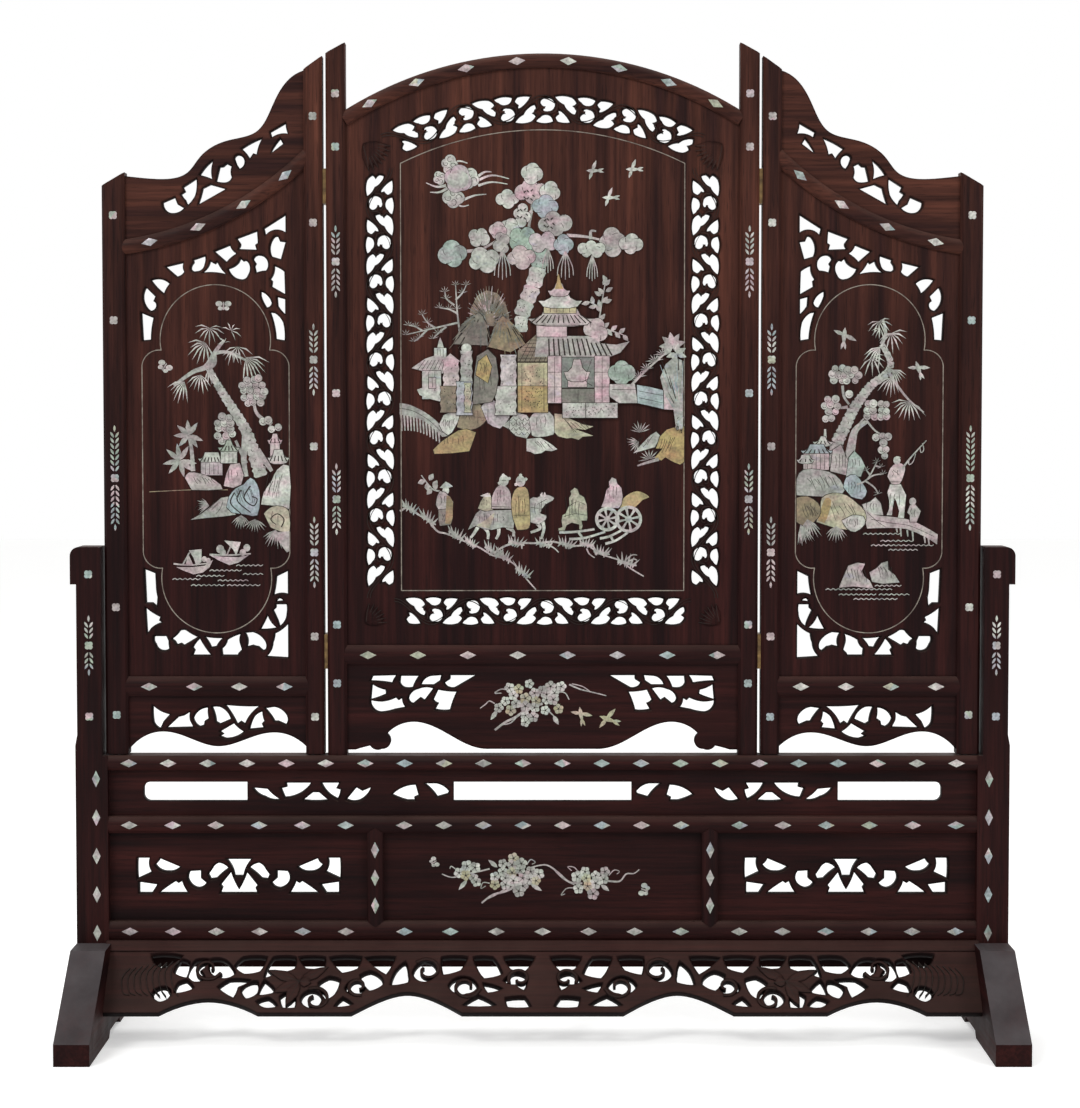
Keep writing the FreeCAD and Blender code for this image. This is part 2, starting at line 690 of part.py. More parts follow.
def make_centre_apron():
    # Shaped board with a plain cartouche between two windows of vine, drawn downwards from the lower rail
    top, edge = stand_top + centre_rail_low, arch_half + tongue
    wide, tall = arch_half / centre_apron_sheet[0], centre_rail_low / centre_apron_sheet[1]

    def down(point):
        return (point[0] * wide, top - point[1] * tall)
    wave = [down(p) for p in centre_apron_edge]
    scroll = [down(p) for p in centre_apron_scroll]
    heel = (edge, scroll[-1][1])
    edges = [line((0, top + tongue), (0, wave[0][1])), line((0, wave[0][1]), wave[0]), spline(wave),
             arc(*scroll[:3]), arc(*scroll[2:5]), arc(*scroll[4:]), line(scroll[-1], heel),
             line(heel, (edge, top + tongue)), line((edge, top + tongue), (0, top + tongue))]
    half = sawn(slab(Part.Wire(edges), board_front, board_back),
                drawn(centre_apron_holes, down), board_front, board_back)
    return joined([half, mirrored(half)])


# Right wing: its curved bar sinks outwards from the centre leaf

curve_start = (wing_board_out + bar_point / 2, stand_top + curve_low)
curve_end = (wing_board_in - bar_point / 2, stand_top + curve_high)


def curve_hub():
    dx, dz = curve_end[0] - curve_start[0], curve_end[1] - curve_start[1]
    chord = hypot(dx, dz)
    rise = sqrt(curve_radius ** 2 - (chord / 2) ** 2)
    mid = mixed(curve_start, curve_end, 0.5)
    return (mid[0] + dz / chord * rise, mid[1] - dx / chord * rise)


def curve_turns():
    hub = curve_hub()
    return sorted(degrees(atan2(p[0] - hub[0], p[1] - hub[1])) % 360 for p in (curve_start, curve_end))


def curve_level(x, drop):
    # Height at x of the bar's middle line, moved down by drop
    hub = curve_hub()
    return hub[1] - sqrt((curve_radius + drop) ** 2 - (x - hub[0]) ** 2)


def chord_point(sheet_width, u, rise):
    # A point u in from the outer edge of the wing's board, rise above the chord of the curved bar
    x = wing_board_out + (wing_board_in - wing_board_out) * u / sheet_width
    share = (x - curve_start[0]) / (curve_end[0] - curve_start[0])
    return (x, curve_start[1] + (curve_end[1] - curve_start[1]) * share + rise)


def make_curved_rail():
    reach = degrees(bar_point / 2 / curve_radius)
    first, last = curve_turns()
    return curved_bar(curve_hub(), curve_radius, curve_rail, first - reach, last + reach)


wing_sheet = 132.0
crest_edge = [(0, 52), (24, 38), (46.5, 32), (55, 38.5), (75.5, 41), (97, 37), (110, 52), (132, 65)]
crest_holes = [
    [(28, 18.5, 0), (36.5, 18, 0), (38.5, 12, 0), (43, 7, 0.12), (34, 8, 0.2)],
    [(43, 22.5, 0), (52.5, 24, 0.05), (51.5, 12.5, 0.05), (46, 8, 0), (44.5, 12.5, 0.05),
     (41.5, 18, 0), (44.5, 18.5, 0)],
    [(57.5, 14.5, 0), (63, 14.5, 0), (74, 6, 0), (54, 4.5, -0.02)],
    [(55.5, 25.5, 0.05), (65, 31.5, -0.08), (64, 18.5, -0.03)],
    [(70, 24, 0), (72.5, 23, 0), (75, 24, 0), (78.5, 20.5, -0.1), (78.5, 12.5, 0.15), (74, 11, 0.05),
     (67.5, 15, 0)],
    [(81, 25, 0.2), (84, 26, 0.2), (88, 19, 0.15), (84.5, 16, 0), (82.5, 20, 0)],
    [(86.5, 29.5, 0.03), (101, 30, -0.05), (97, 20.5, 0), (94.5, 22.5, 0), (92, 20, -0.05)],
    [(107.5, 31.5, 0), (118.5, 32.5, -0.05), (120, 24.5, -0.1), (108.5, 27.5, 0)],
    [(114.5, 23, 0), (116.5, 18.5, 0), (107.5, 16, 0.03)]]


def make_crest():
    profile = [chord_point(wing_sheet, *p) for p in crest_edge]
    x0, x1 = wing_board_in - tongue, wing_board_out + tongue
    seat = tongue - curve_rail / 2
    bottom = [(x, curve_level(x, seat)) for x in (x0, (x0 + x1) / 2, x1)]
    ends = [(x1, profile[0][1]), (x0, profile[-1][1])]
    edges = [line(ends[0], profile[0]), spline(profile), line(profile[-1], ends[1]),
             line(ends[1], bottom[0]), arc(*bottom), line(bottom[2], ends[0])]
    holes = drawn(crest_holes, lambda point: chord_point(wing_sheet, *point))
    return sawn(slab(Part.Wire(edges), board_front, board_back), holes, board_front, board_back)


def cartouche():
    # The inlaid field: a round head and tail, and wider shoulders between
    neck = sqrt(cartouche_round ** 2 - cartouche_drop ** 2)
    ease = cartouche_half - neck
    edges = []
    sides = []
    for hub, way in ((head_level, 1), (tail_level, -1)):
        level = hub - way * cartouche_drop
        top = (wing_mid, hub + way * cartouche_round)
        edges.append(arc((wing_mid - neck, level), top, (wing_mid + neck, level)))
        for side in (1, -1):
            knee = (wing_mid + side * (neck + ease * 0.72), level - way * ease * 0.24)
            foot = (wing_mid + side * cartouche_half, level - way * ease * 0.8)
            edges.append(arc((wing_mid + side * neck, level), knee, foot))
            sides.append(foot)
    edges += [line(sides[0], sides[2]), line(sides[1], sides[3])]
    return chain(edges)


wing_head_holes = [
    [(11.5, 20, 0), (20, 16.5, -0.03), (18, 0.5, 0), (12.5, 0, 0)],
    [(15, 39, 0), (21.5, 32.5, 0), (20, 29, 0.1), (22, 27, 0.25), (18, 22, 0.2)],
    [(19, 44.5, 0.15), (32, 42, -0.05), (28, 35, 0.04)],
    [(30, 54.5, 0), (42.5, 57.5, -0.12), (43, 51, 0.1), (38, 47.5, 0)],
    [(50, 59.5, 0), (58.5, 62.5, 0.08), (58, 56.5, 0.2), (52, 51.5, 0.2), (48.5, 53, 0.1),
     (50, 57, -0.2)],
    [(57, 50.5, -0.1), (62.5, 58.5, 0), (66, 56.5, 0), (67.5, 58, -0.05), (73.5, 49.5, -0.05)],
    [(66, 66, 0), (77, 70.5, -0.1), (81.5, 64.5, -0.05), (74.5, 58.5, 0)],
    [(82.5, 75.5, 0), (97, 81, 0), (97.5, 72.5, 0), (95.5, 71, 0), (96.5, 67.5, 0), (83.5, 68, -0.15),
     (85, 72, 0)],
    [(76, 53, -0.08), (83.5, 57.5, 0), (85, 60.5, 0), (87, 58.5, 0.1), (89, 59, 0.1), (91.5, 55, 0.1),
     (90, 48.5, 0.2), (85, 45.5, 0.15)],
    [(94.5, 60, 0.2), (99, 63, 0.2), (105, 56.5, 0.1), (103.5, 52, -0.05), (96.5, 50.5, 0),
     (95.5, 55, 0), (96.5, 57, 0)],
    [(102.5, 83, 0), (118, 93, 0), (118, 80.5, -0.2), (103.5, 78.5, 0)],
    [(110, 76.5, 0.1), (112.5, 77, 0), (114, 73.5, 0), (118, 73, 0), (114.5, 60.5, 0),
     (108, 62.5, 0.15)],
    [(110, 55, 0.05), (117, 51, 0), (117.5, 34.5, 0), (108, 40, 0), (108.5, 44, 0), (107, 45.5, -0.1)],
    [(100, 36, 0.12), (107.5, 28, 0.2), (104, 24.5, 0.04), (100, 33, 0)],
    [(112, 32, 0), (117.5, 30.5, 0), (117.5, 19.5, 0.04), (112.5, 25.5, 0)],
    [(107, 20.5, 0), (110, 20, 0.08), (116, 13, 0.04), (117, 0, 0), (111, 1, -0.04)]]
wing_tail_holes = [
    [(12.5, 80.5, 0), (20, 77.5, 0), (20.5, 66, -0.02), (21.5, 59.5, 0), (21, 53, 0), (18, 55.5, 0),
     (13.5, 55.5, 0)],
    [(13, 51.5, -0.04), (23.5, 44.5, 0), (22.5, 42, 0), (24.5, 40.5, -0.08), (16.5, 36, 0), (14, 32.5, 0)],
    [(19.5, 30, 0), (28, 30, 0), (29.5, 26.5, 0), (29.5, 24, 0), (30, 21, 0.1), (27, 19.5, 0.2),
     (20.5, 24, 0.15)],
    [(32.5, 28, -0.05), (38.5, 34, 0.1), (42.5, 34.5, -0.03), (51, 29.5, 0), (41, 23.5, 0),
     (39, 25, 0), (36, 24, 0), (34.5, 26.5, 0)],
    [(53, 28, -0.03), (61, 16, 0), (48, 16, 0), (49.5, 19.5, 0), (48, 21.5, 0.05)],
    [(57, 29.5, -0.03), (69.5, 28.5, -0.05), (65, 22.5, 0), (61.5, 22, -0.04)],
    [(83, 31.5, 0.04), (73.5, 27, -0.1), (69.5, 20.5, 0), (70, 16, 0), (81, 16, 0), (81.5, 17.5, 0),
     (84, 20, 0), (82.5, 25, -0.08)],
    [(87, 32.5, 0), (92.5, 33, 0.1), (101.5, 26, 0.1), (102, 21, 0.1), (100, 19.5, 0),
     (96.5, 22.5, 0.05), (92.5, 23.5, 0), (88.5, 22.5, -0.12)],
    [(118.5, 39, 0), (118.5, 14, 0), (103, 15, -0.1), (107.5, 25, -0.05), (109, 32, -0.06)],
    [(103.5, 45.5, -0.08), (110, 36.5, 0.03), (98.5, 35.5, -0.02)],
    [(110, 54, 0), (117.5, 54, 0.05), (117.5, 47.5, 0.12), (112.5, 38, -0.03), (110.5, 44, 0),
     (108, 49.5, 0), (110, 51.5, 0)],
    [(110.5, 56.5, 0.1), (112.5, 58.5, 0.1), (115, 57, 0)],
    [(110.5, 75, 0), (118.5, 79, 0), (118.5, 62, -0.1), (108.5, 61.5, -0.02)]]


def wing_holes(holes, level):
    return fitted(holes, (wing_sheet, 1), (wing_board_out, level), (wing_board_in, level + 1))


def make_wing_board():
    x0, x1 = wing_board_in - tongue, wing_board_out + tongue
    low, seat = wing_rail_top - tongue, curve_rail / 2 - tongue
    top = [(x, curve_level(x, seat)) for x in (x0, (x0 + x1) / 2, x1)]
    outline = Part.Wire([arc(*top), line(top[2], (x1, low)), line((x1, low), (x0, low)),
                         line((x0, low), top[0])])
    holes = wing_holes(wing_head_holes, head_level) + wing_holes(wing_tail_holes, wing_rail_top)
    return sawn(slab(outline, board_front, board_back), holes, board_front, board_back)


wing_apron_height = 43.4
wing_apron_edge = [(0, 40), (36, 28.5), (66, 38), (98, 29), (132, 38)]
wing_apron_holes = [
    [(18, 7.5, -0.08), (30, 14, 0), (25.5, 19, 0), (23, 24.5, 0.1), (18.5, 20, 0.03)],
    [(45, 12.5, -0.05), (45, 18.5, 0), (47.5, 23.5, 0), (28.5, 24, 0), (37, 16, 0), (41, 15, 0)],
    [(58.5, 9, -0.05), (59, 17, 0), (56, 19, 0), (55.5, 22, 0), (52.5, 23, 0.12), (48, 17, 0.15)],
    [(62, 8.5, 0.05), (67.5, 8.5, 0.12), (75.5, 17.5, 0), (67.5, 21, 0), (65, 19.5, -0.05)],
    [(72, 7, -0.02), (96.5, 8, -0.08), (86, 21, 0), (83, 19, 0), (80.5, 21, -0.03)],
    [(78, 21, -0.05), (85, 27, 0.05), (79.5, 30.5, 0.05), (72, 32, 0), (68, 30.5, 0), (70.5, 29, 0),
     (68, 27, 0)],
    [(99, 12, -0.05), (100.5, 19, 0), (98.5, 21, 0), (100, 24, 0), (90, 25, 0.04), (93, 16.5, 0.08)],
    [(101.5, 9.5, 0), (108, 8.5, 0.1), (116, 13, 0.1), (118, 18, 0.1), (116.5, 21.5, 0), (111, 19, 0),
     (108.5, 19, -0.04)]]


def make_wing_apron():
    x0, x1 = wing_board_in - tongue, wing_board_out + tongue
    top = wing_foot + wing_rail_low

    def down(point):
        return (wing_board_out + (wing_board_in - wing_board_out) * point[0] / wing_sheet,
                top - wing_rail_low * point[1] / wing_apron_height)
    wave = [down(p) for p in wing_apron_edge]
    ends = [(x1, wave[0][1]), (x0, wave[-1][1])]
    heads = [(x0, top + tongue), (x1, top + tongue)]
    edges = [line(ends[0], wave[0]), spline(wave), line(wave[-1], ends[1]), line(ends[1], heads[0]),
             line(heads[0], heads[1]), line(heads[1], ends[0])]
    holes = drawn(wing_apron_holes, down)
    return sawn(slab(Part.Wire(edges), board_front, board_back), holes, board_front, board_back)


# Butt hinges between the edges of two leaves, with the knuckles behind

def knuckle(low, high):
    tube = Part.makeCylinder(knuckle_radius, high - low, V(hinge_x, hinge_y, low))
    return tube.cut(Part.makeCylinder(pin_radius + pin_clearance, high - low, V(hinge_x, hinge_y, low)))


def hinge_leaf(level, face, way, spans):
    # A plate on a stile's edge, its knuckles, and the screws that go through it the given way along X
    low, high = level - hinge_height / 2, level + hinge_height / 2
    x0, x1 = sorted([face, face + way * hinge_plate])
    bore = Part.makeCylinder(pin_radius + pin_clearance, hinge_height, V(hinge_x, hinge_y, low))
    shapes = [box(x0, x1, leaf_back - plate_reach, leaf_back, low, high)]
    for z0, z1 in spans:
        shapes += [knuckle(z0, z1), box(x0, x1, leaf_back - 1, hinge_y, z0, z1).cut(bore)]
    screws = []
    for z in spread(screw_count, hinge_height * 0.64):
        spot = V(face, leaf_back - plate_reach * 0.55, level + z)
        head = Part.makeCone(screw_head, screw_radius, hinge_plate, spot, V(way, 0, 0))
        shank = Part.makeCylinder(screw_radius, hinge_plate + screw_bite, spot, V(way, 0, 0))
        screws.append(joined([head, shank]))
    return joined(shapes).cut(screws), screws


def make_hinges():
    fixed, moving, pins, fixed_screws, moving_screws = [], [], [], [], []
    for level in (stand_top + lower_hinge, stand_top + upper_hinge):
        low, high, third = level - hinge_height / 2, level + hinge_height / 2, hinge_height / 3
        outer_spans = [(low, low + third - knuckle_gap), (high - third + knuckle_gap, high)]
        plate_in, screws_in = hinge_leaf(level, half_centre + hinge_plate, -1, outer_spans)
        plate_out, screws_out = hinge_leaf(level, wing_in - hinge_plate, 1, [(low + third, high - third)])
        fixed.append(plate_in)
        moving.append(plate_out)
        fixed_screws += screws_in
        moving_screws += screws_out
        pins.append(Part.makeCylinder(pin_radius, hinge_height, V(hinge_x, hinge_y, low)))
    return fixed, moving, pins, fixed_screws, moving_screws


# Assembly: what receives a tenon, tongue, pearl or screw is cut by it

def both(parts, name, shape):
    # A piece of the right-hand side and its mirror image
    group = shape if isinstance(shape, list) else [shape]
    parts[name.format("right")] = group
    parts[name.format("left")] = [mirrored(s) for s in group]


def stand_pearls():
    span = bay_edge - muntin_at - muntin_width / 2
    middle = 2 * muntin_at - muntin_width
    side = [(bay_edge + muntin_at + muntin_width / 2) / 2 + x for x in spread(6, span - 2 * diamond_margin)]
    bays = [-x for x in side[::-1]] + side
    inner = middle - 2 * diamond_margin
    runs = {"stand_top_rail": (spread(22, 2 * (bay_edge - diamond_margin)), top_rail, top_rail_low),
            "stand_middle_rail": (bays + spread(8, inner), middle_rail, middle_rail_low),
            "stand_bottom_rail": (bays + spread(7, inner), bottom_rail, bottom_rail_low)}
    return {name: [placed(p, 0, post_face, low + height / 2) for p in bar_diamonds(places, height)]
            for name, (places, height, low) in runs.items()}


def post_pearls():
    low_line, neck_line = bay_edge + post_lower * 0.36, post_in + post_upper / 2
    pearls = []
    for z in spread(5, top_rail_low - bottom_rail_low - diamond_length):
        level = (top_rail_low + bottom_rail_low) / 2 + z
        pearls.append(plate(diamond_upright(low_line, level), post_face))
    for share in (0.19, 0.87):
        pearls += floret(neck_line, stand_top + post_rise * share, post_face)
    return pearls + sprig(neck_line, stand_top + post_rise * 0.53, 3, post_face)


def diamond_upright(x, z):
    return diamond(x, z, diamond_height, diamond_length)


def build_stand(parts):
    rails = {"stand_top_rail": stand_bar(top_rail, top_rail_low),
             "stand_middle_rail": stand_bar(middle_rail, middle_rail_low),
             "stand_bottom_rail": stand_bar(bottom_rail, bottom_rail_low)}
    muntin_level = lower_bay_low + lower_bay / 2
    muntin = placed(moulded_bar(lower_bay, muntin_width, stand_bar_depth, bar_point), muntin_at, post_face,
                    muntin_level, upright=True)
    muntin_pearls = [placed(p, muntin_at, post_face, muntin_level, upright=True)
                     for p in bar_diamonds(spread(3, lower_bay - 2 * diamond_length), muntin_width)]
    frieze, side_bay = make_frieze(), make_side_bay()
    inlaid_half = muntin_at - muntin_width / 2
    inlaid = bay_board(-inlaid_half, inlaid_half, lower_bay_low, middle_rail_low)
    stretcher = make_stretcher()
    apron = make_apron().cut(stretcher)
    post, foot = make_post(), make_foot()
    boards = [frieze, inlaid, side_bay, mirrored(side_bay)]
    for name, pearls in stand_pearls().items():
        rails[name] = rails[name].cut(pearls + boards + [muntin, mirrored(muntin)])
        parts[name + "_diamonds"] = pearls
    socket = Part.makeCylinder(peg_radius + peg_clearance, peg_in_rail + 1,
                               V(half_centre - centre_stile / 2, 0, stand_top - peg_in_rail - 1))
    rails["stand_top_rail"] = rails["stand_top_rail"].cut([socket, mirrored(socket)])
    pearls = post_pearls()
    foot = foot.cut([post, stretcher, apron])
    both(parts, "{}_foot", foot)
    both(parts, "{}_post", post.cut(list(rails.values()) + [frieze, side_bay] + pearls))
    both(parts, "{}_post_inlay", pearls)
    both(parts, "{}_muntin", muntin.cut(muntin_pearls + [side_bay, inlaid]))
    both(parts, "{}_pierced_bay_panel", side_bay)
    parts["muntin_diamonds"] = muntin_pearls + [mirrored(p) for p in muntin_pearls]
    parts["slotted_frieze_panel"] = frieze
    parts["inlaid_bay_panel"] = inlaid
    parts["foot_stretcher"] = stretcher
    parts["front_apron"] = apron
    parts.update(rails)


def stile_pearls(x, low, height, florets, sprigs, pairs):
    # Florets and sprigs along a stile, at shares of its height
    pearls = []
    for share in florets:
        pearls += floret(x, low + height * share, leaf_front)
    for share in sprigs:
        pearls += sprig(x, low + height * share, pairs, leaf_front)
    return pearls


def build_centre(parts, fixed_screws):
    top = stand_top + centre_stile_top
    upright = stile(half_centre - centre_stile, half_centre, stand_top, top, top - stile_slope)
    arch_bar = make_arch_rail()
    lower_bar = leaf_bar(-arch_half, arch_half, stand_top + centre_rail_low, centre_rail)
    board, apron = make_centre_board(), make_centre_apron()
    stile_line = half_centre - centre_stile / 2
    peg_foot = V(stile_line, 0, stand_top - peg_in_rail)
    peg = Part.makeCylinder(peg_radius, peg_in_rail + peg_in_stile, peg_foot)
    half_angle = degrees(asin((arch_half - diamond_margin) / arch_radius))
    arch_line = arch_radius - arch_rail / 2
    arch_pearls = curved_diamonds(arch_centre, arch_line, arch_rail, spread(8, 2 * half_angle))
    rail_level = stand_top + centre_rail_low + centre_rail / 2
    lower_pearls = [placed(p, 0, leaf_front, rail_level)
                    for p in bar_diamonds(spread(8, 2 * (arch_half - diamond_margin)), centre_rail)]
    pearls = stile_pearls(stile_line, stand_top, centre_stile_top, (0.102, 0.185, 0.511, 0.855, 0.929),
                          (0.362, 0.695), 4)
    wire = wire_ring(centre_field())
    board = board.cut(wire)
    parts["centre_arched_rail"] = arch_bar.cut(arch_pearls + [board])
    parts["centre_lower_rail"] = lower_bar.cut(lower_pearls + [board, apron])
    parts["centre_fretwork_panel"] = board
    parts["centre_apron"] = apron
    parts["centre_rail_diamonds"] = arch_pearls + lower_pearls
    parts["centre_field_wire"] = wire
    parts["locating_pegs"] = [peg, mirrored(peg)]
    held = [arch_bar, lower_bar, board, apron, peg]
    both(parts, "centre_{}_stile", upright.cut(held + pearls + fixed_screws))
    both(parts, "centre_{}_stile_inlay", pearls)


def build_wings(parts, moving_screws):
    curved, crest, board, apron = make_curved_rail(), make_crest(), make_wing_board(), make_wing_apron()
    bar = leaf_bar(wing_board_in, wing_board_out, wing_foot + wing_rail_low, wing_rail)
    inner_top, outer_top = stand_top + inner_stile_top, stand_top + outer_stile_top
    inner = stile(wing_in, wing_board_in, wing_foot, inner_top, inner_top - wing_slope)
    outer = stile(wing_board_out, wing_out, wing_foot, outer_top, outer_top - wing_slope)
    first, last = curve_turns()
    angles = [(first + last) / 2 + a for a in spread(4, (last - first) * 0.73)]
    curve_pearls = curved_diamonds(curve_hub(), curve_radius, curve_rail, angles)
    rail_level = wing_foot + wing_rail_low + wing_rail / 2
    rail_places = spread(4, wing_board_out - wing_board_in - 2 * diamond_margin)
    bar_pearls = [placed(p, wing_mid, leaf_front, rail_level) for p in bar_diamonds(rail_places, wing_rail)]
    pearls = stile_pearls(wing_in + wing_inner_stile / 2, wing_foot, inner_stile_top,
                          (0.054, 0.17, 0.443, 0.762, 0.913), (0.291, 0.567), 4)
    outer_line = wing_out - wing_outer_stile / 2
    pearls += stile_pearls(outer_line, wing_foot, outer_stile_top, (0.068, 0.254, 0.746, 0.925), (0.476,), 7)
    wire = wire_ring(cartouche())
    board = board.cut(wire)
    both(parts, "{}_wing_curved_rail", curved.cut(curve_pearls + [crest, board]))
    both(parts, "{}_wing_lower_rail", bar.cut(bar_pearls + [board, apron]))
    held = [curved, bar, board, crest, apron]
    both(parts, "{}_wing_inner_stile", inner.cut(held + pearls + moving_screws))
    both(parts, "{}_wing_outer_stile", outer.cut(held + pearls))
    both(parts, "{}_wing_crest", crest)
    both(parts, "{}_wing_fretwork_panel", board)
    both(parts, "{}_wing_apron", apron)
    both(parts, "{}_wing_rail_diamonds", curve_pearls + bar_pearls)
    both(parts, "{}_wing_stile_inlay", pearls)
    both(parts, "{}_wing_field_wire", wire)


def build():
    parts = {}
    fixed, moving, pins, fixed_screws, moving_screws = make_hinges()
    build_stand(parts)
    build_centre(parts, fixed_screws)
    build_wings(parts, moving_screws)
    both(parts, "{}_wing_hinge_leaves", moving)
    both(parts, "{}_wing_hinge_screws", moving_screws)
    parts["centre_hinge_leaves"] = fixed + [mirrored(p) for p in fixed]
    parts["centre_hinge_screws"] = fixed_screws + [mirrored(p) for p in fixed_screws]
    parts["hinge_pins"] = pins + [mirrored(p) for p in pins]
    return parts


os.makedirs("parts", exist_ok=True)
for node, pieces in build().items():
    group = Part.makeCompound(pieces) if isinstance(pieces, list) and len(pieces) > 1 else pieces
    group = group[0] if isinstance(group, list) else group
    group.exportStep("parts/" + node + ".step")
    state = "valid" if group.isValid() else "not valid"
    print(node, len(group.Solids), "solids", round(group.Volume / 1000, 2), "cm3", state)
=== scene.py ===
import math
import random

import bmesh
import bpy
from mathutils import Matrix, Vector


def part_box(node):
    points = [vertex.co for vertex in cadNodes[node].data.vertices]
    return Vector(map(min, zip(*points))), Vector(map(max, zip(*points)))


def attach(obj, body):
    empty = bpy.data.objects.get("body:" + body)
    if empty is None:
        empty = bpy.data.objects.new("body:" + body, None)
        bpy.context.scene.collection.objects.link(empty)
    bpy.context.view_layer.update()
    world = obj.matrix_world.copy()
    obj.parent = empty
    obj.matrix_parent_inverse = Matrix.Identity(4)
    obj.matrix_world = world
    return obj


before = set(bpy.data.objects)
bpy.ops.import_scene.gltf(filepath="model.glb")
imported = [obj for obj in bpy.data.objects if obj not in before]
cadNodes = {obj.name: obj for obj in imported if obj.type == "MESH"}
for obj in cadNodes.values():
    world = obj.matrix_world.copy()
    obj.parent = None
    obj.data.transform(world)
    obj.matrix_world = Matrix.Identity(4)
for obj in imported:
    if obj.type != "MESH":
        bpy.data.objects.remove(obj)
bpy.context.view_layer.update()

mm = 0.001


# Materials

# A socket takes a plain value or a link from another node
def feed(tree, node, sockets):
    for key, value in sockets.items():
        if isinstance(value, bpy.types.NodeSocket):
            tree.links.new(value, node.inputs[key])
        else:
            node.inputs[key].default_value = value


def addNode(tree, kind, settings=None, sockets=None):
    node = tree.nodes.new("ShaderNode" + kind)
    for key, value in (settings or {}).items():
        setattr(node, key, value)
    feed(tree, node, sockets or {})
    return node


def newGroup(name, inputs, outputs):
    group = bpy.data.node_groups.new(name, "ShaderNodeTree")
    for way, sockets in (("INPUT", inputs), ("OUTPUT", outputs)):
        for label, kind in sockets.items():
            group.interface.new_socket(label, in_out=way, socket_type="NodeSocket" + kind)
    return group, group.nodes.new("NodeGroupInput"), group.nodes.new("NodeGroupOutput")


def newMaterial(name, sockets):
    material = bpy.data.materials.new(name)
    material.use_nodes = True
    shader = material.node_tree.nodes["Principled BSDF"]
    feed(material.node_tree, shader, sockets)
    return material, material.node_tree, shader


def stretched(tree, vector, scale):
    return addNode(tree, "VectorMath", {"operation": "MULTIPLY"}, {0: vector, 1: scale}).outputs[0]


def spread(tree, value, low, high, newLow=0.0, newHigh=1.0):
    limits = {"Value": value, "From Min": low, "From Max": high, "To Min": newLow, "To Max": newHigh}
    return addNode(tree, "MapRange", {"clamp": True}, limits).outputs["Result"]


# Most of a noise lies between these levels
noiseBand = (0.3, 0.7)


def noiseValue(tree, vector, scale, detail=3.0, roughness=0.55):
    values = {"Vector": vector, "Scale": scale, "Detail": detail, "Roughness": roughness}
    return addNode(tree, "TexNoise", None, values).outputs["Fac"]


def mixColours(tree, factor, first, second, blend="MIX"):
    settings = {"data_type": "RGBA", "blend_type": blend}
    return addNode(tree, "Mix", settings, {0: factor, 6: first, 7: second}).outputs[2]


def mathValue(tree, operation, first, second=0.0):
    return addNode(tree, "Math", {"operation": operation}, {0: first, 1: second}).outputs[0]


def objectPlace(tree):
    return addNode(tree, "TexCoord").outputs["Object"]


def upwardPart(tree, vector):
    return addNode(tree, "SeparateXYZ", None, {0: vector}).outputs["Z"]


# Grain is drawn out along the third axis of the vector that comes in, and limits are levels of its noise
grainLook = {"streakScale": 62, "streakStretch": (1, 1, 0.05), "streakLimits": (0.36, 0.70),
             "fineScale": 420, "fineStretch": (1, 1, 0.025), "fineShade": (0.62, 1.34),
             "poreScale": 1150, "poreStretch": (1, 1, 0.045), "poreLimits": (0.60, 0.70),
             "poreColour": (0.006, 0.003, 0.003, 1), "poreShade": 0.55, "poreDepth": 0.9,
             "smokeScale": 9, "smokeLimits": (0.25, 0.7), "smokeShade": (0.45, 1),
             "dustScale": 26, "dustAndSheenPatches": (0.45, 0.9), "dustAndSheenSlope": (0.2, 0.75),
             "roughness": (0.36, 0.46), "rubScale": 34, "rubRoughness": 0.16, "wearRoughness": 0.12}


def hardwoodGroup():
    inputs = {"Vector": "Vector", "Deep": "Color", "Warm": "Color", "WearAndSheen": "Float", "Upward": "Float",
              "DustAndSheen": "Color"}
    outputs = {"Color": "Color", "Roughness": "Float", "Height": "Float"}
    group, given, result = newGroup("hardwoodGrain", inputs, outputs)
    vector, wearAndSheen = given.outputs["Vector"], given.outputs["WearAndSheen"]

    def grained(layer, *detail):
        along = stretched(group, vector, grainLook[layer + "Stretch"])
        return noiseValue(group, along, grainLook[layer + "Scale"], *detail)

    def patched(layer, *limits):
        return spread(group, noiseValue(group, vector, grainLook[layer + "Scale"], 4), *noiseBand, *limits)

    def times(first, second):
        return mathValue(group, "MULTIPLY", first, second)

    fine = grained("fine", 3)
    pores = spread(group, grained("pore", 1), *grainLook["poreLimits"])
    smoke = spread(group, noiseValue(group, vector, grainLook["smokeScale"], 3), *grainLook["smokeLimits"],
                   *grainLook["smokeShade"])
    warmth = times(spread(group, grained("streak", 5, 0.62), *grainLook["streakLimits"]), smoke)
    colour = mixColours(group, warmth, given.outputs["Deep"], given.outputs["Warm"])
    shade = spread(group, fine, *noiseBand, *grainLook["fineShade"])
    colour = mixColours(group, 1.0, colour, shade, "MULTIPLY")
    colour = mixColours(group, times(pores, grainLook["poreShade"]), colour, grainLook["poreColour"])
    # Patches of the dust colour on upward faces, scaled by wear: on teak mostly a painted highlight from
    # the light above, on the feet grey dust
    dust = times(spread(group, given.outputs["Upward"], *grainLook["dustAndSheenSlope"]),
                 patched("dust", *grainLook["dustAndSheenPatches"]))
    colour = mixColours(group, times(dust, wearAndSheen), colour, given.outputs["DustAndSheen"])
    rough = mathValue(group, "ADD", spread(group, fine, *noiseBand, *grainLook["roughness"]),
                      patched("rub", 0.0, grainLook["rubRoughness"]))
    rough = mathValue(group, "ADD", rough, times(wearAndSheen, grainLook["wearRoughness"]))
    height = mathValue(group, "SUBTRACT", fine, times(pores, grainLook["poreDepth"]))
    feed(group, result, {"Color": colour, "Roughness": rough, "Height": height})
    return group


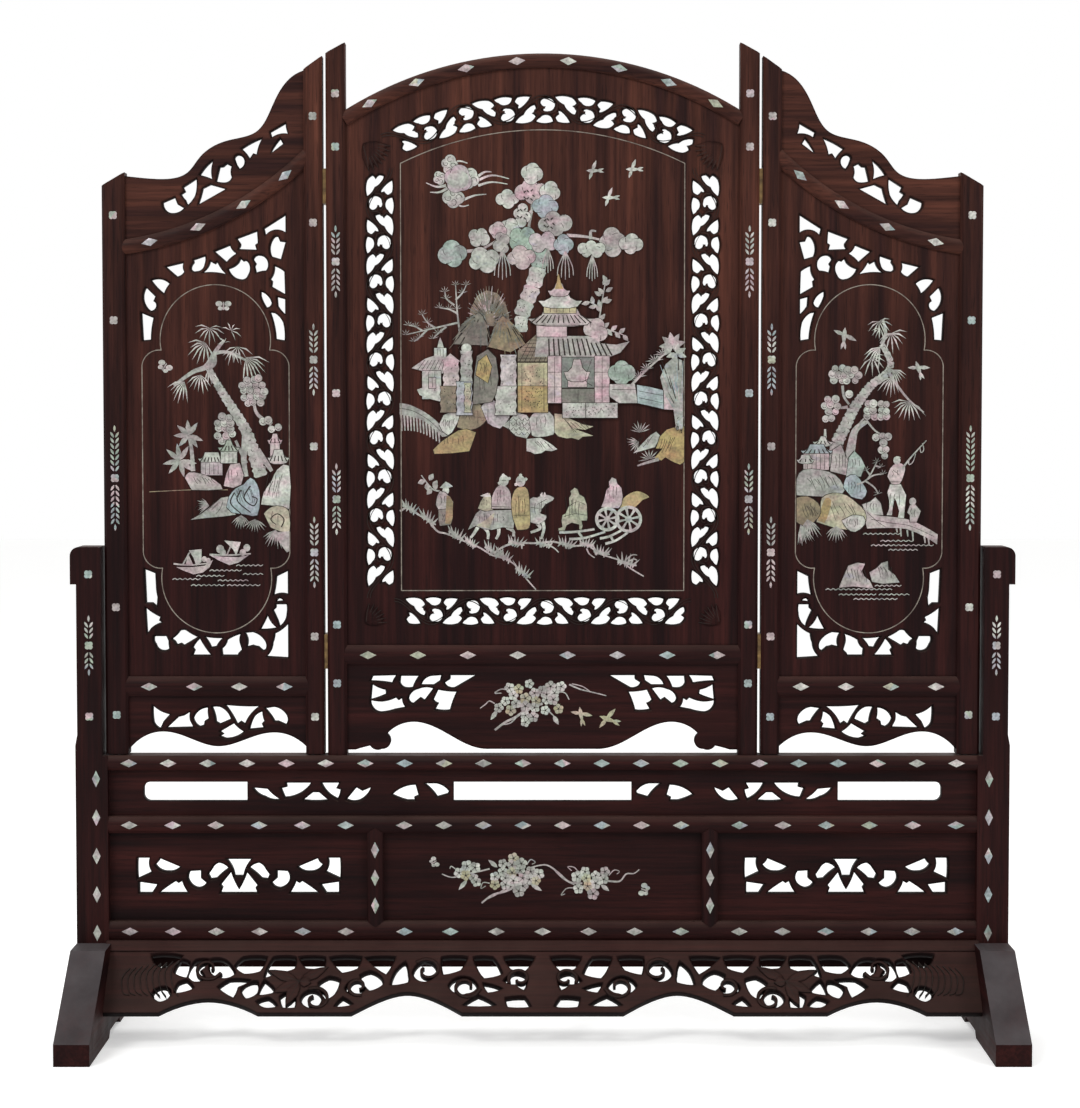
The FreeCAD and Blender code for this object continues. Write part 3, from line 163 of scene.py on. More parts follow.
# Pale shell: the tint picks a family of colours, and slow bands of pink, green and blue lie over it
pearlLook = {"families": [(0.00, (0.47, 0.445, 0.425, 1)), (0.14, (0.29, 0.275, 0.265, 1)),
                          (0.27, (0.46, 0.335, 0.36, 1)), (0.40, (0.265, 0.305, 0.34, 1)),
                          (0.53, (0.285, 0.33, 0.29, 1)), (0.66, (0.38, 0.335, 0.245, 1)),
                          (0.79, (0.34, 0.235, 0.095, 1)), (0.91, (0.145, 0.11, 0.09, 1)),
                          (1.00, (0.15, 0.155, 0.145, 1))],
             "bands": [(0.30, (1.12, 0.86, 0.95, 1)), (0.46, (0.98, 1.0, 0.97, 1)),
                       (0.60, (0.89, 1.07, 0.91, 1)), (0.72, (0.82, 0.96, 1.08, 1))],
             "bandScale": 60, "bandStretch": (1, 1, 2.0), "roughness": (0.24, 0.40), "specular": 0.6,
             "fleckScale": 520, "fleckLimits": (0.30, 0.62), "fleckShade": (0.72, 1.10),
             "cloudScale": 130, "cloudLimits": (0.32, 0.68), "cloudShade": (0.66, 1.26),
             "cellScale": 62.0, "cellLimits": (0.1, 1.0), "cellTints": (0.0, 0.62)}


def colourRamp(tree, factor, steps):
    ramp = addNode(tree, "ValToRGB", None, {"Fac": factor})
    elements = ramp.color_ramp.elements
    for element, (place, colour) in zip((elements[0], elements[1]), (steps[0], steps[-1])):
        element.position = place
        element.color = colour
    for place, colour in steps[1:-1]:
        elements.new(place).color = colour
    return ramp.outputs["Color"]


def pearlGroup():
    inputs = {"Vector": "Vector", "Tint": "Float", "Play": "Float"}
    group, given, result = newGroup("pearlSheen", inputs, {"Color": "Color", "Roughness": "Float"})
    vector = given.outputs["Vector"]
    plain = colourRamp(group, given.outputs["Tint"], pearlLook["families"])
    along = stretched(group, vector, pearlLook["bandStretch"])
    bands = noiseValue(group, along, pearlLook["bandScale"], 4, 0.6)
    banded = mixColours(group, 1.0, plain, colourRamp(group, bands, pearlLook["bands"]), "MULTIPLY")
    colour = mixColours(group, given.outputs["Play"], plain, banded)
    mottle = [spread(group, noiseValue(group, vector, pearlLook[layer + "Scale"], detail),
                     *pearlLook[layer + "Limits"], *pearlLook[layer + "Shade"])
              for layer, detail in (("fleck", 3), ("cloud", 2))]
    colour = mixColours(group, 1.0, colour, mathValue(group, "MULTIPLY", *mottle), "MULTIPLY")
    rough = spread(group, bands, *noiseBand, *pearlLook["roughness"])
    feed(group, result, {"Color": colour, "Roughness": rough})
    return group


hardwood = hardwoodGroup()
pearlSheen = pearlGroup()

# Teak is darker towards the floor, partly from fading of the upper wood and partly as painted shade for
# light that falls off downwards; levels and lengths are in metres
teakFinish = {"lowDeep": (0.0085, 0.0026, 0.0028, 1), "lowWarm": (0.0370, 0.0092, 0.0080, 1),
              "highDeep": (0.0190, 0.0070, 0.0062, 1), "highWarm": (0.0920, 0.0310, 0.0195, 1),
              "lowLevel": 0.36, "highLevel": 0.64, "specular": 0.07, "bump": 0.16, "bumpDepth": 0.0006,
              "rounding": 0.0026, "roundingSamples": 6, "paintedCreviceShade": 0.24, "paintedCreviceTurn": (0.68, 0.985),
              "dust": (0.110, 0.064, 0.052, 1), "footDust": (0.085, 0.076, 0.079, 1)}
grainTurns = {"upright": (0, 0, 0), "cross": (0, math.pi / 2, 0), "deep": (math.pi / 2, 0, 0)}


# With a facing direction, slopes that turn away from it are darker: painted shade on the sides of carved
# stems and round the edges of the openings
def teakMaterial(name, grain, paler=0.0, wearAndSheen=0.5, facing=None, dust="dust"):
    material, tree, shader = newMaterial(name, {"Specular IOR Level": teakFinish["specular"]})
    place = objectPlace(tree)
    # Painted shade by height: lower wood takes the darker low colours, as the light falls off downwards
    high = spread(tree, upwardPart(tree, place), teakFinish["lowLevel"] - paler,
                  teakFinish["highLevel"] - paler)
    along = addNode(tree, "Mapping", None, {"Vector": place, "Rotation": grainTurns[grain]}).outputs[0]
    wood = addNode(tree, "Group", {"node_tree": hardwood}, {
        "Vector": along,
        "Deep": mixColours(tree, high, teakFinish["lowDeep"], teakFinish["highDeep"]),
        "Warm": mixColours(tree, high, teakFinish["lowWarm"], teakFinish["highWarm"]),
        "Upward": upwardPart(tree, addNode(tree, "NewGeometry").outputs["Normal"]),
        "WearAndSheen": wearAndSheen, "DustAndSheen": teakFinish[dust]}).outputs
    colour = wood["Color"]
    relief = {"Height": wood["Height"], "Strength": teakFinish["bump"],
              "Distance": teakFinish["bumpDepth"]}
    if facing:
        rounded = addNode(tree, "Bevel", {"samples": teakFinish["roundingSamples"]},
                          {"Radius": teakFinish["rounding"]}).outputs["Normal"]
        relief["Normal"] = rounded
        toObject = {"vector_type": "NORMAL", "convert_from": "WORLD", "convert_to": "OBJECT"}
        normal = addNode(tree, "VectorTransform", toObject, {0: rounded}).outputs[0]
        turn = addNode(tree, "VectorMath", {"operation": "DOT_PRODUCT"}, {0: normal, 1: facing})
        turned = mathValue(tree, "ABSOLUTE", turn.outputs["Value"])
        # Painted shade: darker where the rounded normal turns away from the facing direction
        paintedCreviceShade = spread(tree, turned, *teakFinish["paintedCreviceTurn"], teakFinish["paintedCreviceShade"], 1.0)
        colour = mixColours(tree, 1.0, colour, paintedCreviceShade, "MULTIPLY")
    bump = addNode(tree, "Bump", None, relief).outputs["Normal"]
    feed(tree, shader, {"Base Color": colour, "Roughness": wood["Roughness"], "Normal": bump})
    return material


# Plates bring their own tint, and lozenges take one from where they lie
def pearlMaterial(name, play, ownTint):
    material, tree, shader = newMaterial(name, {"Specular IOR Level": pearlLook["specular"]})
    place = objectPlace(tree)
    if ownTint:
        tint = addNode(tree, "Attribute", {"attribute_name": "tint"}).outputs["Fac"]
    else:
        cells = addNode(tree, "TexVoronoi", None, {"Vector": place, "Scale": pearlLook["cellScale"]})
        shade = addNode(tree, "SeparateColor", None, {0: cells.outputs["Color"]}).outputs[0]
        tint = spread(tree, shade, *pearlLook["cellLimits"], *pearlLook["cellTints"])
    shell = addNode(tree, "Group", {"node_tree": pearlSheen},
                    {"Vector": place, "Tint": tint, "Play": play}).outputs
    feed(tree, shader, {"Base Color": shell["Color"], "Roughness": shell["Roughness"]})
    return material


tarnishLook = {"scale": 160, "limits": (0.35, 0.65), "duller": 0.2}


def metalMaterial(name, colour, dull, rough):
    material, tree, shader = newMaterial(name, {"Metallic": 1.0})
    patches = noiseValue(tree, objectPlace(tree), tarnishLook["scale"], 4)
    tarnish = spread(tree, patches, *tarnishLook["limits"])
    feed(tree, shader, {"Base Color": mixColours(tree, tarnish, colour, dull),
                        "Roughness": spread(tree, tarnish, 0, 1, rough, rough + tarnishLook["duller"])})
    return material


# The line colour is engraving on pearl, and painted groove shade on carved wood
lineFinish = {"dark": (0.010, 0.008, 0.007, 1), "pale": (0.040, 0.030, 0.026, 1), "specular": 0.1,
              "colourScale": 300, "roughScale": 200, "roughness": (0.6, 0.8)}


def lineMaterial(name):
    material, tree, shader = newMaterial(name, {"Specular IOR Level": lineFinish["specular"]})
    place = objectPlace(tree)
    mottle = noiseValue(tree, place, lineFinish["colourScale"])
    rough = noiseValue(tree, place, lineFinish["roughScale"])
    feed(tree, shader, {"Base Color": mixColours(tree, mottle, lineFinish["dark"], lineFinish["pale"]),
                        "Roughness": spread(tree, rough, *noiseBand, *lineFinish["roughness"])})
    return material


# paler lowers the levels of the painted height shading, so those pieces come out lighter
uprightTeak = teakMaterial("uprightTeak", "upright")
crossTeak = teakMaterial("crossTeak", "cross")
paleCrossTeak = teakMaterial("paleCrossTeak", "cross", 0.12)
uprightCarving = teakMaterial("uprightCarving", "upright", facing=(0, 1, 0))
crossCarving = teakMaterial("crossCarving", "cross", facing=(0, 1, 0))
paleCarving = teakMaterial("paleCarving", "cross", 0.12, facing=(0, 1, 0))
slopeCarving = teakMaterial("slopeCarving", "cross", 0.22, 0.3, (0, -0.691, 0.723))
footTeak = teakMaterial("footTeak", "deep", 0.0, 1.0, dust="footDust")
pegWood = teakMaterial("pegWood", "upright", 0.3)
pearlPlates = pearlMaterial("pearlPlates", 0.75, True)
pearlLozenges = pearlMaterial("pearlLozenges", 0.6, False)
wireMetal = metalMaterial("wireMetal", (0.27, 0.24, 0.20, 1), (0.12, 0.10, 0.085, 1), 0.35)
agedBrass = metalMaterial("agedBrass", (0.22, 0.14, 0.06, 1), (0.09, 0.06, 0.035, 1), 0.38)
engravedLine = lineMaterial("engravedLine")

# The first row with an ending that fits a node's name gives its finish; the slot name in that row is read
# but not used
finishRows = [(("inlay", "diamonds"), pearlLozenges, "pearl"), (("wire",), wireMetal, "wire"),
              (("hinge_leaves", "hinge_screws", "hinge_pins"), agedBrass, "brass"),
              (("locating_pegs",), pegWood, "peg_wood"), (("foot",), footTeak, "teak"),
              (("crest",), paleCarving, "teak"), (("curved_rail", "arched_rail"), paleCrossTeak, "teak"),
              (("front_apron",), slopeCarving, "teak"), (("fretwork_panel",), uprightCarving, "teak"),
              (("apron", "frieze_panel", "pierced_bay_panel"), crossCarving, "teak"),
              (("rail", "bay_panel", "stretcher"), crossTeak, "teak"), (("",), uprightTeak, "teak")]
for name, node in cadNodes.items():
    material, slotName = next(row[1:] for row in finishRows if name.endswith(row[0]))
    node.data.materials.clear()
    node.data.materials.append(material)
print("finishes on", len(cadNodes), "pieces")

# Pearl pictures: plates cut to an outline in millimetres and laid one over the other on a board

pictureRule = {"sink": 0.3, "proud": 0.06, "step": 0.002, "line": 0.42, "joint": 0.4, "edge": 0.3,
               "tintPlay": 0.05}
pearlTints = {"white": 0.04, "grey": 0.16, "pink": 0.27, "blue": 0.40, "green": 0.53, "cream": 0.66,
              "gold": 0.79, "brown": 0.92, "slate": 1.0, "line": 0.0}


# A leaning board is drawn flat and upright, and its picture is turned into place at the end
def newPicture(name, board, finish=None, sink=None, lean=None, shift=0.0, proud=None):
    random.seed(name)
    mesh = bmesh.new()
    return {"name": name, "mesh": mesh, "tint": mesh.faces.layers.float.new("tint"), "count": 0,
            "lean": lean, "shift": shift, "plane": 0.0 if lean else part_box(board)[0][1] / mm,
            "sink": sink or pictureRule["sink"], "proud": proud or pictureRule["proud"],
            "finish": finish or pearlPlates, "slot": "teak" if finish else "pearl"}


def layPlate(picture, outline, tint="white"):
    mesh = picture["mesh"]
    picture["count"] += 1
    front = picture["plane"] - picture["proud"] - pictureRule["step"] * picture["count"]
    plate = mesh.faces.new([mesh.verts.new(((x + picture["shift"]) * mm, front * mm, z * mm))
                            for x, z in outline])
    plate.material_index = int(tint == "line")
    play = pictureRule["tintPlay"]
    shade = pearlTints[tint] + random.uniform(-play, play) if isinstance(tint, str) else tint
    plate[picture["tint"]] = max(0.0, shade)


# A plate with a dark joint round it
def fitPlate(picture, outline, tint):
    x, z = (sum(values) / len(outline) for values in zip(*outline))
    joint = pictureRule["joint"]
    grown = [(a + math.copysign(joint, a - x), b + math.copysign(joint, b - z)) for a, b in outline]
    layPlate(picture, grown, "line")
    layPlate(picture, outline, tint)


def finishPicture(picture, body):
    mesh = picture["mesh"]
    copies = bmesh.ops.extrude_face_region(mesh, geom=mesh.faces[:], use_keep_orig=True)["geom"]
    for corner in copies:
        if isinstance(corner, bmesh.types.BMVert):
            corner.co.y = (picture["plane"] + picture["sink"]) * mm
    bmesh.ops.recalc_face_normals(mesh, faces=mesh.faces[:])
    if picture["lean"]:
        bmesh.ops.transform(mesh, matrix=picture["lean"], verts=mesh.verts[:])
    data = bpy.data.meshes.new(picture["name"])
    mesh.to_mesh(data)
    mesh.free()
    data.materials.append(picture["finish"])
    data.materials.append(engravedLine)
    piece = bpy.data.objects.new(picture["name"], data)
    bpy.context.collection.objects.link(piece)
    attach(piece, body)
    print(picture["name"], "laid with", picture["count"], "plates")


# A smooth path through the points
def curved(points, steps=5):
    ring = [points[0]] + list(points) + [points[-1]]
    path = []
    for a, b, c, d in zip(ring, ring[1:], ring[2:], ring[3:]):
        for i in range(steps):
            t = i / steps
            path.append(tuple(0.5 * (2 * q + (r - p) * t + (2 * p - 5 * q + 4 * r - s) * t * t
                                     + (3 * q - p - 3 * r + s) * t ** 3)
                              for p, q, r, s in zip(a, b, c, d)))
    return path + [points[-1]]


# A tapering stroke along a path, with its width at both ends
def stroke(picture, points, start, end, tint="white"):
    path = curved(points) if len(points) > 2 else list(points)
    left, right = [], []
    for i, (x, z) in enumerate(path):
        before, after = path[max(i - 1, 0)], path[min(i + 1, len(path) - 1)]
        dx, dz = after[0] - before[0], after[1] - before[1]
        half = (start + (end - start) * i / (len(path) - 1)) / 2 / (math.hypot(dx, dz) or 1)
        left.append((x - dz * half, z + dx * half))
        right.append((x + dz * half, z - dx * half))
    layPlate(picture, left + right[::-1], tint)


# Strokes of the same widths along several paths
def strokes(picture, paths, start, end, tint="grey"):
    for path in paths:
        stroke(picture, path, start, end, tint)


# Fine dark lines: engraving in the pearl pictures, and on carved wood painted shade standing for its
# grooves
def engrave(picture, *paths):
    strokes(picture, paths, pictureRule["line"], pictureRule["line"] * 0.7, "line")


def around(x, z, radius, angle):
    return x + radius * math.cos(math.radians(angle)), z + radius * math.sin(math.radians(angle))


def disc(picture, x, z, rx, rz=None, tint="white", points=14):
    rz = rx if rz is None else rz
    turn = 2 * math.pi / points
    ring = [(x + rx * math.cos(i * turn), z + rz * math.sin(i * turn)) for i in range(points)]
    layPlate(picture, ring, tint)


# A cloud of leaves or mist: dark-edged lobes round an oval, a curl or a short arc engraved in each
def pad(picture, x0, x1, z0, z1, tint, curl=False):
    x, z, rx, rz = (x0 + x1) / 2, (z0 + z1) / 2, (x1 - x0) / 2, (z1 - z0) / 2
    radius = min(rx, rz) * 0.62
    count = max(4, round((rx + rz) / radius * 1.1))
    start = random.uniform(0, 360)
    lobes = []
    for i in range(count):
        px, pz = around(0, 0, 1.0, start + 360 * i / count)
        size = radius * random.uniform(0.88, 1.12)
        lobes.append((x + (rx - radius) * px, z + (rz - radius) * pz, size))
    for px, pz, size in lobes:
        disc(picture, px, pz, size + pictureRule["edge"], None, "line", 18)
    shade = pearlTints[tint] + random.uniform(-0.04, 0.04)
    for px, pz, size in lobes:
        disc(picture, px, pz, size, None, shade, 18)
    disc(picture, x, z, rx * 0.6, rz * 0.55, shade)
    for px, pz, size in lobes:
        turn = math.degrees(math.atan2(pz - z, px - x))
        if curl:
            engrave(picture, [around(px, pz, size * (0.62 - 0.055 * k), turn + 34 * k) for k in range(9)])
        else:
            engrave(picture, [around(px, pz, size * 0.95, turn + 78 + 14 * k) for k in range(4)])


# Feathery ground or thatch: a plate whose edge is lost under fine strokes that fan out from a point
def thatch(picture, outline, tint, hub, count, tints):
    layPlate(picture, outline, tint)
    ring = curved(outline + outline[:1], 4)
    for i in range(count):
        edge = random.choice(ring)
        share = random.uniform(0.25, 0.86)
        ends = [tuple(h + (e - h) * s for h, e in zip(hub, edge)) for s in (share, share + 0.3)]
        stroke(picture, ends, 0.75, 0.25, tints[i % len(tints)])


# A length of trunk between two points, swelling near its ends
def barrel(picture, lower, upper, width, tint):
    dx, dz = upper[0] - lower[0], upper[1] - lower[1]
    length = math.hypot(dx, dz)
    side = ((0, 0.40), (0.18, 0.53), (0.5, 0.46), (0.82, 0.54), (1, 0.40))
    ring = list(side) + [(s, -w) for s, w in side[::-1]]
    for grow, shade in ((0.7, "line"), (0.0, tint)):
        outline = [(lower[0] + dx * s - dz / length * w * (width + grow),
                    lower[1] + dz * s + dx / length * w * (width + grow)) for s, w in ring]
        layPlate(picture, outline, shade)


# A knotty trunk: short lengths from the root up
def knottyTrunk(picture, path, start, end, tints):
    path = curved(path, 2)
    for i, (lower, upper) in enumerate(zip(path, path[1:])):
        barrel(picture, lower, upper, start + (end - start) * i / (len(path) - 2), tints[i % len(tints)])
        x, z = (lower[0] + upper[0]) / 2, (lower[1] + upper[1]) / 2
        engrave(picture, [around(x, z, 1.3, turn) for turn in (30 + 70 * i, 90 + 70 * i, 150 + 70 * i)])


bunchRule = {"size": 2.9, "row": 1.5, "gap": 1.7, "edge": 0.25,
             "tints": ("white", "grey", "grey", "white", "grey", "grey", "pink")}


# Round blossoms in staggered rows that fill an oval
def bunch(picture, x, z, rx, rz):
    size, tints = bunchRule["size"], bunchRule["tints"]
    row = size * bunchRule["row"]
    rows = int(rz / row)
    for j in range(-rows, rows + 1):
        wide = 2 * rx * math.sqrt(1 - (j * row / (rz + 1)) ** 2)
        count = max(1, round(wide / (size * bunchRule["gap"])))
        for i in range(count):
            px = x + (i - (count - 1) / 2) * size * bunchRule["gap"] + random.uniform(-1.0, 1.0)
            pz = z + j * row + random.uniform(-0.9, 0.9)
            radius = size * random.uniform(0.86, 1.1)
            disc(picture, px, pz, radius + bunchRule["edge"], None, "line")
            disc(picture, px, pz, radius, None, tints[(i + 2 * j) % len(tints)])
            engrave(picture, [around(px, pz, size * 0.55, turn) for turn in (200, 260, 320)])


# Short dark flecks scattered over a box
def flecks(picture, left, right, low, high, count):
    for i in range(count):
        x, z = random.uniform(left + 1, right - 1), random.uniform(low + 1, high - 1)
        stroke(picture, [(x, z), around(x, z, 1.0, random.uniform(0, 180))], 0.55, 0.35, "line")


def leaf(picture, x, z, length, width, angle, tint="white"):
    half = ((0, 0), (0.22, 0.36), (0.5, 0.5), (0.8, 0.26))
    shape = half + ((1, 0),) + tuple((a, -b) for a, b in half[:0:-1])
    c, s = math.cos(math.radians(angle)), math.sin(math.radians(angle))
    outline = [(x + length * a * c - width * b * s, z + length * a * s + width * b * c) for a, b in shape]
    layPlate(picture, outline, tint)


def leaves(picture, x, z, length, width, angles, tint):
    for angle in angles:
        leaf(picture, x, z, length, width, angle, tint)


# Narrow blades that leave one point and droop
def spray(picture, x, z, reach, low, high, tines, tint="white", droop=0.25):
    for i in range(tines):
        angle = low + (high - low) * i / (tines - 1)
        length = reach * random.uniform(0.8, 1.08)
        half = min(0.6, length * 0.05)
        tip, middle = around(x, z, length, angle), around(x, z, length * 0.55, angle)
        left, right = around(*middle, half, angle + 90), around(*middle, half, angle - 90)
        layPlate(picture, [(x, z), right, (tip[0], tip[1] - droop * length), left], tint)


# An old palm: knotty trunk, bare branches, drooping fans and bunches of blossom
def palm(picture, parts, trunkTints=(0.12, 0.17, 0.08)):
    knottyTrunk(picture, parts["trunk"], *parts["widths"], trunkTints)
    for branch in parts["branches"]:
        stroke(picture, *branch, "grey")
    for fan in parts["fans"]:
        spray(picture, *fan)
    for oval in parts["ovals"]:
        bunch(picture, *oval)


# Five-petalled flowers
def blossoms(picture, places, size, tints):
    for i, (x, z) in enumerate(places):
        radius = size * random.uniform(0.85, 1.12)
        start = random.uniform(0, 72)
        for k in range(5):
            px, pz = around(x, z, radius * 0.58, start + 72 * k)
            disc(picture, px, pz, radius * 0.46, None, tints[i % len(tints)], 10)
        engrave(picture, *[[(x, z), around(x, z, radius * 0.7, start + 36 + 72 * k)] for k in range(5)])
        disc(picture, x, z, radius * 0.20, None, "line", 8)


# Body, two wings and a forked tail
def swallow(picture, x, z, size, angle=0, tint="white"):
    feathers = ((-0.45, 0.8, 0.22, 0), (-0.12, 0.6, 0.2, 68), (-0.1, 0.52, 0.18, 250),
                (0.15, 0.4, 0.13, 16), (0.15, 0.4, 0.13, -14))
    for along, length, width, turn in feathers:
        foot = around(x, z, along * size, angle)
        leaf(picture, *foot, length * size, width * size, angle + turn, tint)


def butterfly(picture, x, z, size, angle):
    for turn, far, r in ((25, 0.62, 0.44), (155, 0.62, 0.44), (-38, 0.5, 0.32), (218, 0.5, 0.32)):
        px, pz = around(x, z, size * far, angle + turn)
        disc(picture, px, pz, size * r, size * r * 0.8, "white", 10)
    tail, head = around(x, z, size * 0.5, angle - 90), around(x, z, size * 0.5, angle + 90)
    stroke(picture, [tail, head], size * 0.2, size * 0.16, "grey")


# A roof with lifted eaves, and dark joints between its tiles
def roof(picture, left, right, eave, top, half, tint, tiles=0, tall=0.55):
    middle, reach, lift = (left + right) / 2, (right - left) / 2, (top - eave) * 0.4
    over = [(half + (reach - half) * s, eave + lift + (top - eave - lift) * r)
            for s, r in ((0, 1), (0.2, 0.35), (0.6, 0.0))]
    under = [(reach * s, eave + lift * r) for s, r in ((1.0, 1.0), (0.78, 0.12), (0.4, -0.15))]
    side = over + under
    fitPlate(picture, [(middle + x, z) for x, z in side] + [(middle - x, z) for x, z in side[::-1]], tint)
    for i in range(tiles):
        share = (i + 0.5) / tiles
        foot = (left + (right - left) * share, eave + lift * 0.35)
        head = (middle - half + 2 * half * share, top - 1)
        start = tuple(f + (h - f) * tall for f, h in zip(foot, head))
        stroke(picture, [start, foot], 0.7, 0.9, "line")


# A wall or storey, with upright bars engraved in it
def block(picture, left, right, low, high, tint, bars=0):
    fitPlate(picture, [(left, low), (right, low), (right, high), (left, high)], tint)
    for i in range(bars):
        x = left + (right - left) * (i + 1) / (bars + 1)
        engrave(picture, [(x, low + 0.6), (x, high - 0.6)])


# A plate with engraved strokes that run down from its upper edge
def rock(picture, outline, tint, grooves=4, slant=0.0):
    fitPlate(picture, outline, tint)
    xs, zs = zip(*outline)
    x0, x1, z0, z1 = min(xs), max(xs), min(zs), max(zs)
    for i in range(grooves):
        x = x0 + (x1 - x0) * (0.22 + 0.56 * (i + random.random() * 0.6) / grooves)
        top = z0 + (z1 - z0) * random.uniform(0.62, 0.80)
        low = z0 + (z1 - z0) * random.uniform(0.25, 0.45)
        middle = (x + slant * 0.5 + random.uniform(-1, 1), (top + low) / 2)
        engrave(picture, [(x, top), middle, (x + slant, low)])


# The same with its corners rounded
def boulder(picture, outline, tint, grooves=4, slant=0.0):
    rock(picture, curved(outline, 2), tint, grooves, slant)


# Zigzag lines of water
def ripples(picture, rows):
    for x0, x1, z in rows:
        count = max(4, round((x1 - x0) / 1.9))
        wave = [(x0 + (x1 - x0) * i / count, z + (0.45 if i % 2 else -0.45)) for i in range(count + 1)]
        stroke(picture, wave, 0.75, 0.6, "grey")


# A line of ground with tufts of grass along it
def grassLine(picture, points, tufts, fall, width=1.6):
    stroke(picture, points, width, width * 0.6, "grey")
    for x, z, reach in tufts:
        for i in range(6):
            foot = around(x, z, reach * (i - 2.5) * 0.36, fall)
            tall = reach * random.uniform(0.95, 1.35)
            blade = around(*foot, tall, 112 - 13 * i + random.uniform(-8, 8))
            stroke(picture, [foot, blade], 1.9, 0.15, "grey")
            tooth = around(*foot, reach * random.uniform(0.4, 0.7), random.uniform(225, 275))
            stroke(picture, [foot, tooth], 2.0, 0.5, "grey")
        ends = around(x, z, reach * 1.15, fall + 180), around(x, z, reach * 1.3, fall)
        stroke(picture, ends, reach * 0.5, reach * 0.2, "grey")


# Short strokes that hang from a line
def comb(picture, points, drops, width):
    for (x, z), drop in zip(points, drops):
        stroke(picture, [(x, z), (x + 0.6, z - drop)], width, width * 0.6, "grey")


# Centre field: clouds, birds and the tree
tree = newPicture("treePicture", "centre_fretwork_panel")
for wisp in (([(-87, 639), (-79, 636), (-72, 637)], 0.5, 2.4),
             ([(-84, 632), (-77, 632), (-71, 635)], 0.5, 2.4),
             ([(-48, 644), (-43, 647), (-38, 647)], 2.2, 0.5),
             ([(-50, 640), (-38, 644.5), (-25, 642)], 2.2, 0.5),
             ([(-48, 637), (-38, 639.5), (-26, 638)], 2.0, 0.5),
             ([(-60, 626), (-51, 629.5), (-42, 630.5)], 2.2, 0.5),
             ([(-66, 624), (-60, 621.5), (-55, 622.5)], 1.8, 0.5),
             ([(-70, 650), (-63, 655), (-56, 653.5)], 2.2, 0.6)):
    stroke(tree, *wisp)
for box in ((-82, -72, 637, 648), (-76, -63, 645, 660), (-62, -47, 634, 650), (-75, -58, 620, 636)):
    pad(tree, *box, "white", True)
pad(tree, -74, -53, 631, 652, "pink")
disc(tree, -63, 641.5, 8.0, 7.0, "white", 20)
for x, z in ((38.5, 648), (68, 649), (50.5, 628)):
    swallow(tree, x, z, 13.5)
trunk = [(-16, 528), (-16, 540), (-12, 551), (-7, 562), (-3, 576), (-1, 592)]
for i, (lower, upper) in enumerate(zip(trunk, trunk[1:])):
    barrel(tree, lower, upper, 9.5 if i == 0 else 12, ("white", "grey", "pink", "white", "green")[i])
    flecks(tree, min(lower[0], upper[0]) - 3, max(lower[0], upper[0]) + 3, lower[1], upper[1], 7)
strokes(tree, ([(-3, 588), (-10, 604), (-8, 620), (-9, 640)], [(-8, 618), (-18, 608), (-24, 606)],
               [(-57, 588), (-45, 590), (-33, 597)], [(18, 600), (32, 599), (46, 596)],
               [(0, 596), (12, 604), (10, 614)], [(36, 597), (36, 603), (40, 603)]), 2.6, 1.2)
treePads = ((-35, -17, 620, 634, "white"), (-22, -9, 606, 624, "white"), (-21, 4, 623, 642, "pink"),
            (-16, 0, 638, 654, "white"), (-2, 13, 624, 640, "white"), (-8, 12, 613, 630, "blue"),
            (-4, 22, 599, 618, "grey"), (-32, -17, 598, 613, "white"), (-40, -27, 597, 610, "pink"),
            (-37, -24, 586, 603, "grey"), (-26, -4, 588, 607, "green"), (-11, 12, 587, 603, "pink"),
            (8, 23, 585, 601, "blue"), (-27, -5, 575, 592, "pink"), (-78, -56, 576, 596, "green"),
            (-56, -39, 591, 606, "white"), (-56, -32, 572, 591, "white"), (42, 62, 584, 606, "grey"),
            (57, 75, 586, 601, "white"), (26, 47, 583, 596, "white"))
for box in treePads:
    pad(tree, *box)
for x, top, low, half in ((-30, 589, 567, 6), (17, 588, 567, 6), (37, 585, 566, 4), (4, 590, 572, 4)):
    for i in range(5):
        foot = x + half * (i - 2) / 2
        stroke(tree, [(x, top), (x + half * (i - 2) / 2.4, (top + low) / 2),
                      (foot, low + abs(i - 2) * 1.5)], 1.0, 0.6, "grey")
for x, z in ((4, 609), (-11, 630), (-16, 616)):
    for i in range(7):
        dash = around(x, z, 3.4, 51 * i)
        stroke(tree, [dash, (dash[0] + 1.6, dash[1] + (1.4 if i % 2 else -1.4))], 0.9, 0.6, "line")
finishPicture(tree, "centre_leaf")

# Centre field: the garden palace on its rocks
palace = newPicture("palacePicture", "centre_fretwork_panel")
for path in ([(-62, 528), (-64, 545), (-65, 563)], [(-64, 542), (-70, 545), (-77, 546)],
             [(-63, 535), (-85, 530), (-102, 526)], [(-72, 532), (-78, 527), (-82, 523)],
             [(-80, 531), (-86, 535), (-90, 541)], [(-65, 552), (-60, 557), (-57, 563)],
             [(-90, 529), (-95, 532), (-100, 533)], [(-66, 548), (-72, 553), (-73, 558)],
             [(-86, 530), (-92, 524), (-96, 521)]):
    stroke(palace, path, 1.6, 0.6, "grey")
    for x, z in path[1:]:
        spray(palace, x, z, 4.5, 20, 170, 5, "grey", 0.0)
thatch(palace, [(-55, 533), (-54, 545), (-49, 555), (-42, 559), (-34, 557), (-28, 550), (-25, 540),
                (-26, 532)], "brown", (-40, 536), 300,
       ("grey", "brown", "line", "brown", "pink", "slate"))
thatch(palace, [(-67, 519), (-61, 532), (-53, 540), (-47, 542), (-42, 536), (-41, 518)], "brown",
       (-46, 544), 210, ("brown", "slate", "line", "brown"))
thatch(palace, [(-41, 517), (-36, 532), (-30, 540), (-23, 535), (-13, 519), (-24, 513)], "brown",
       (-30, 543), 230, ("brown", "line", "slate", "brown", 0.86))
leaf(palace, -76, 508, 16, 5, 92)
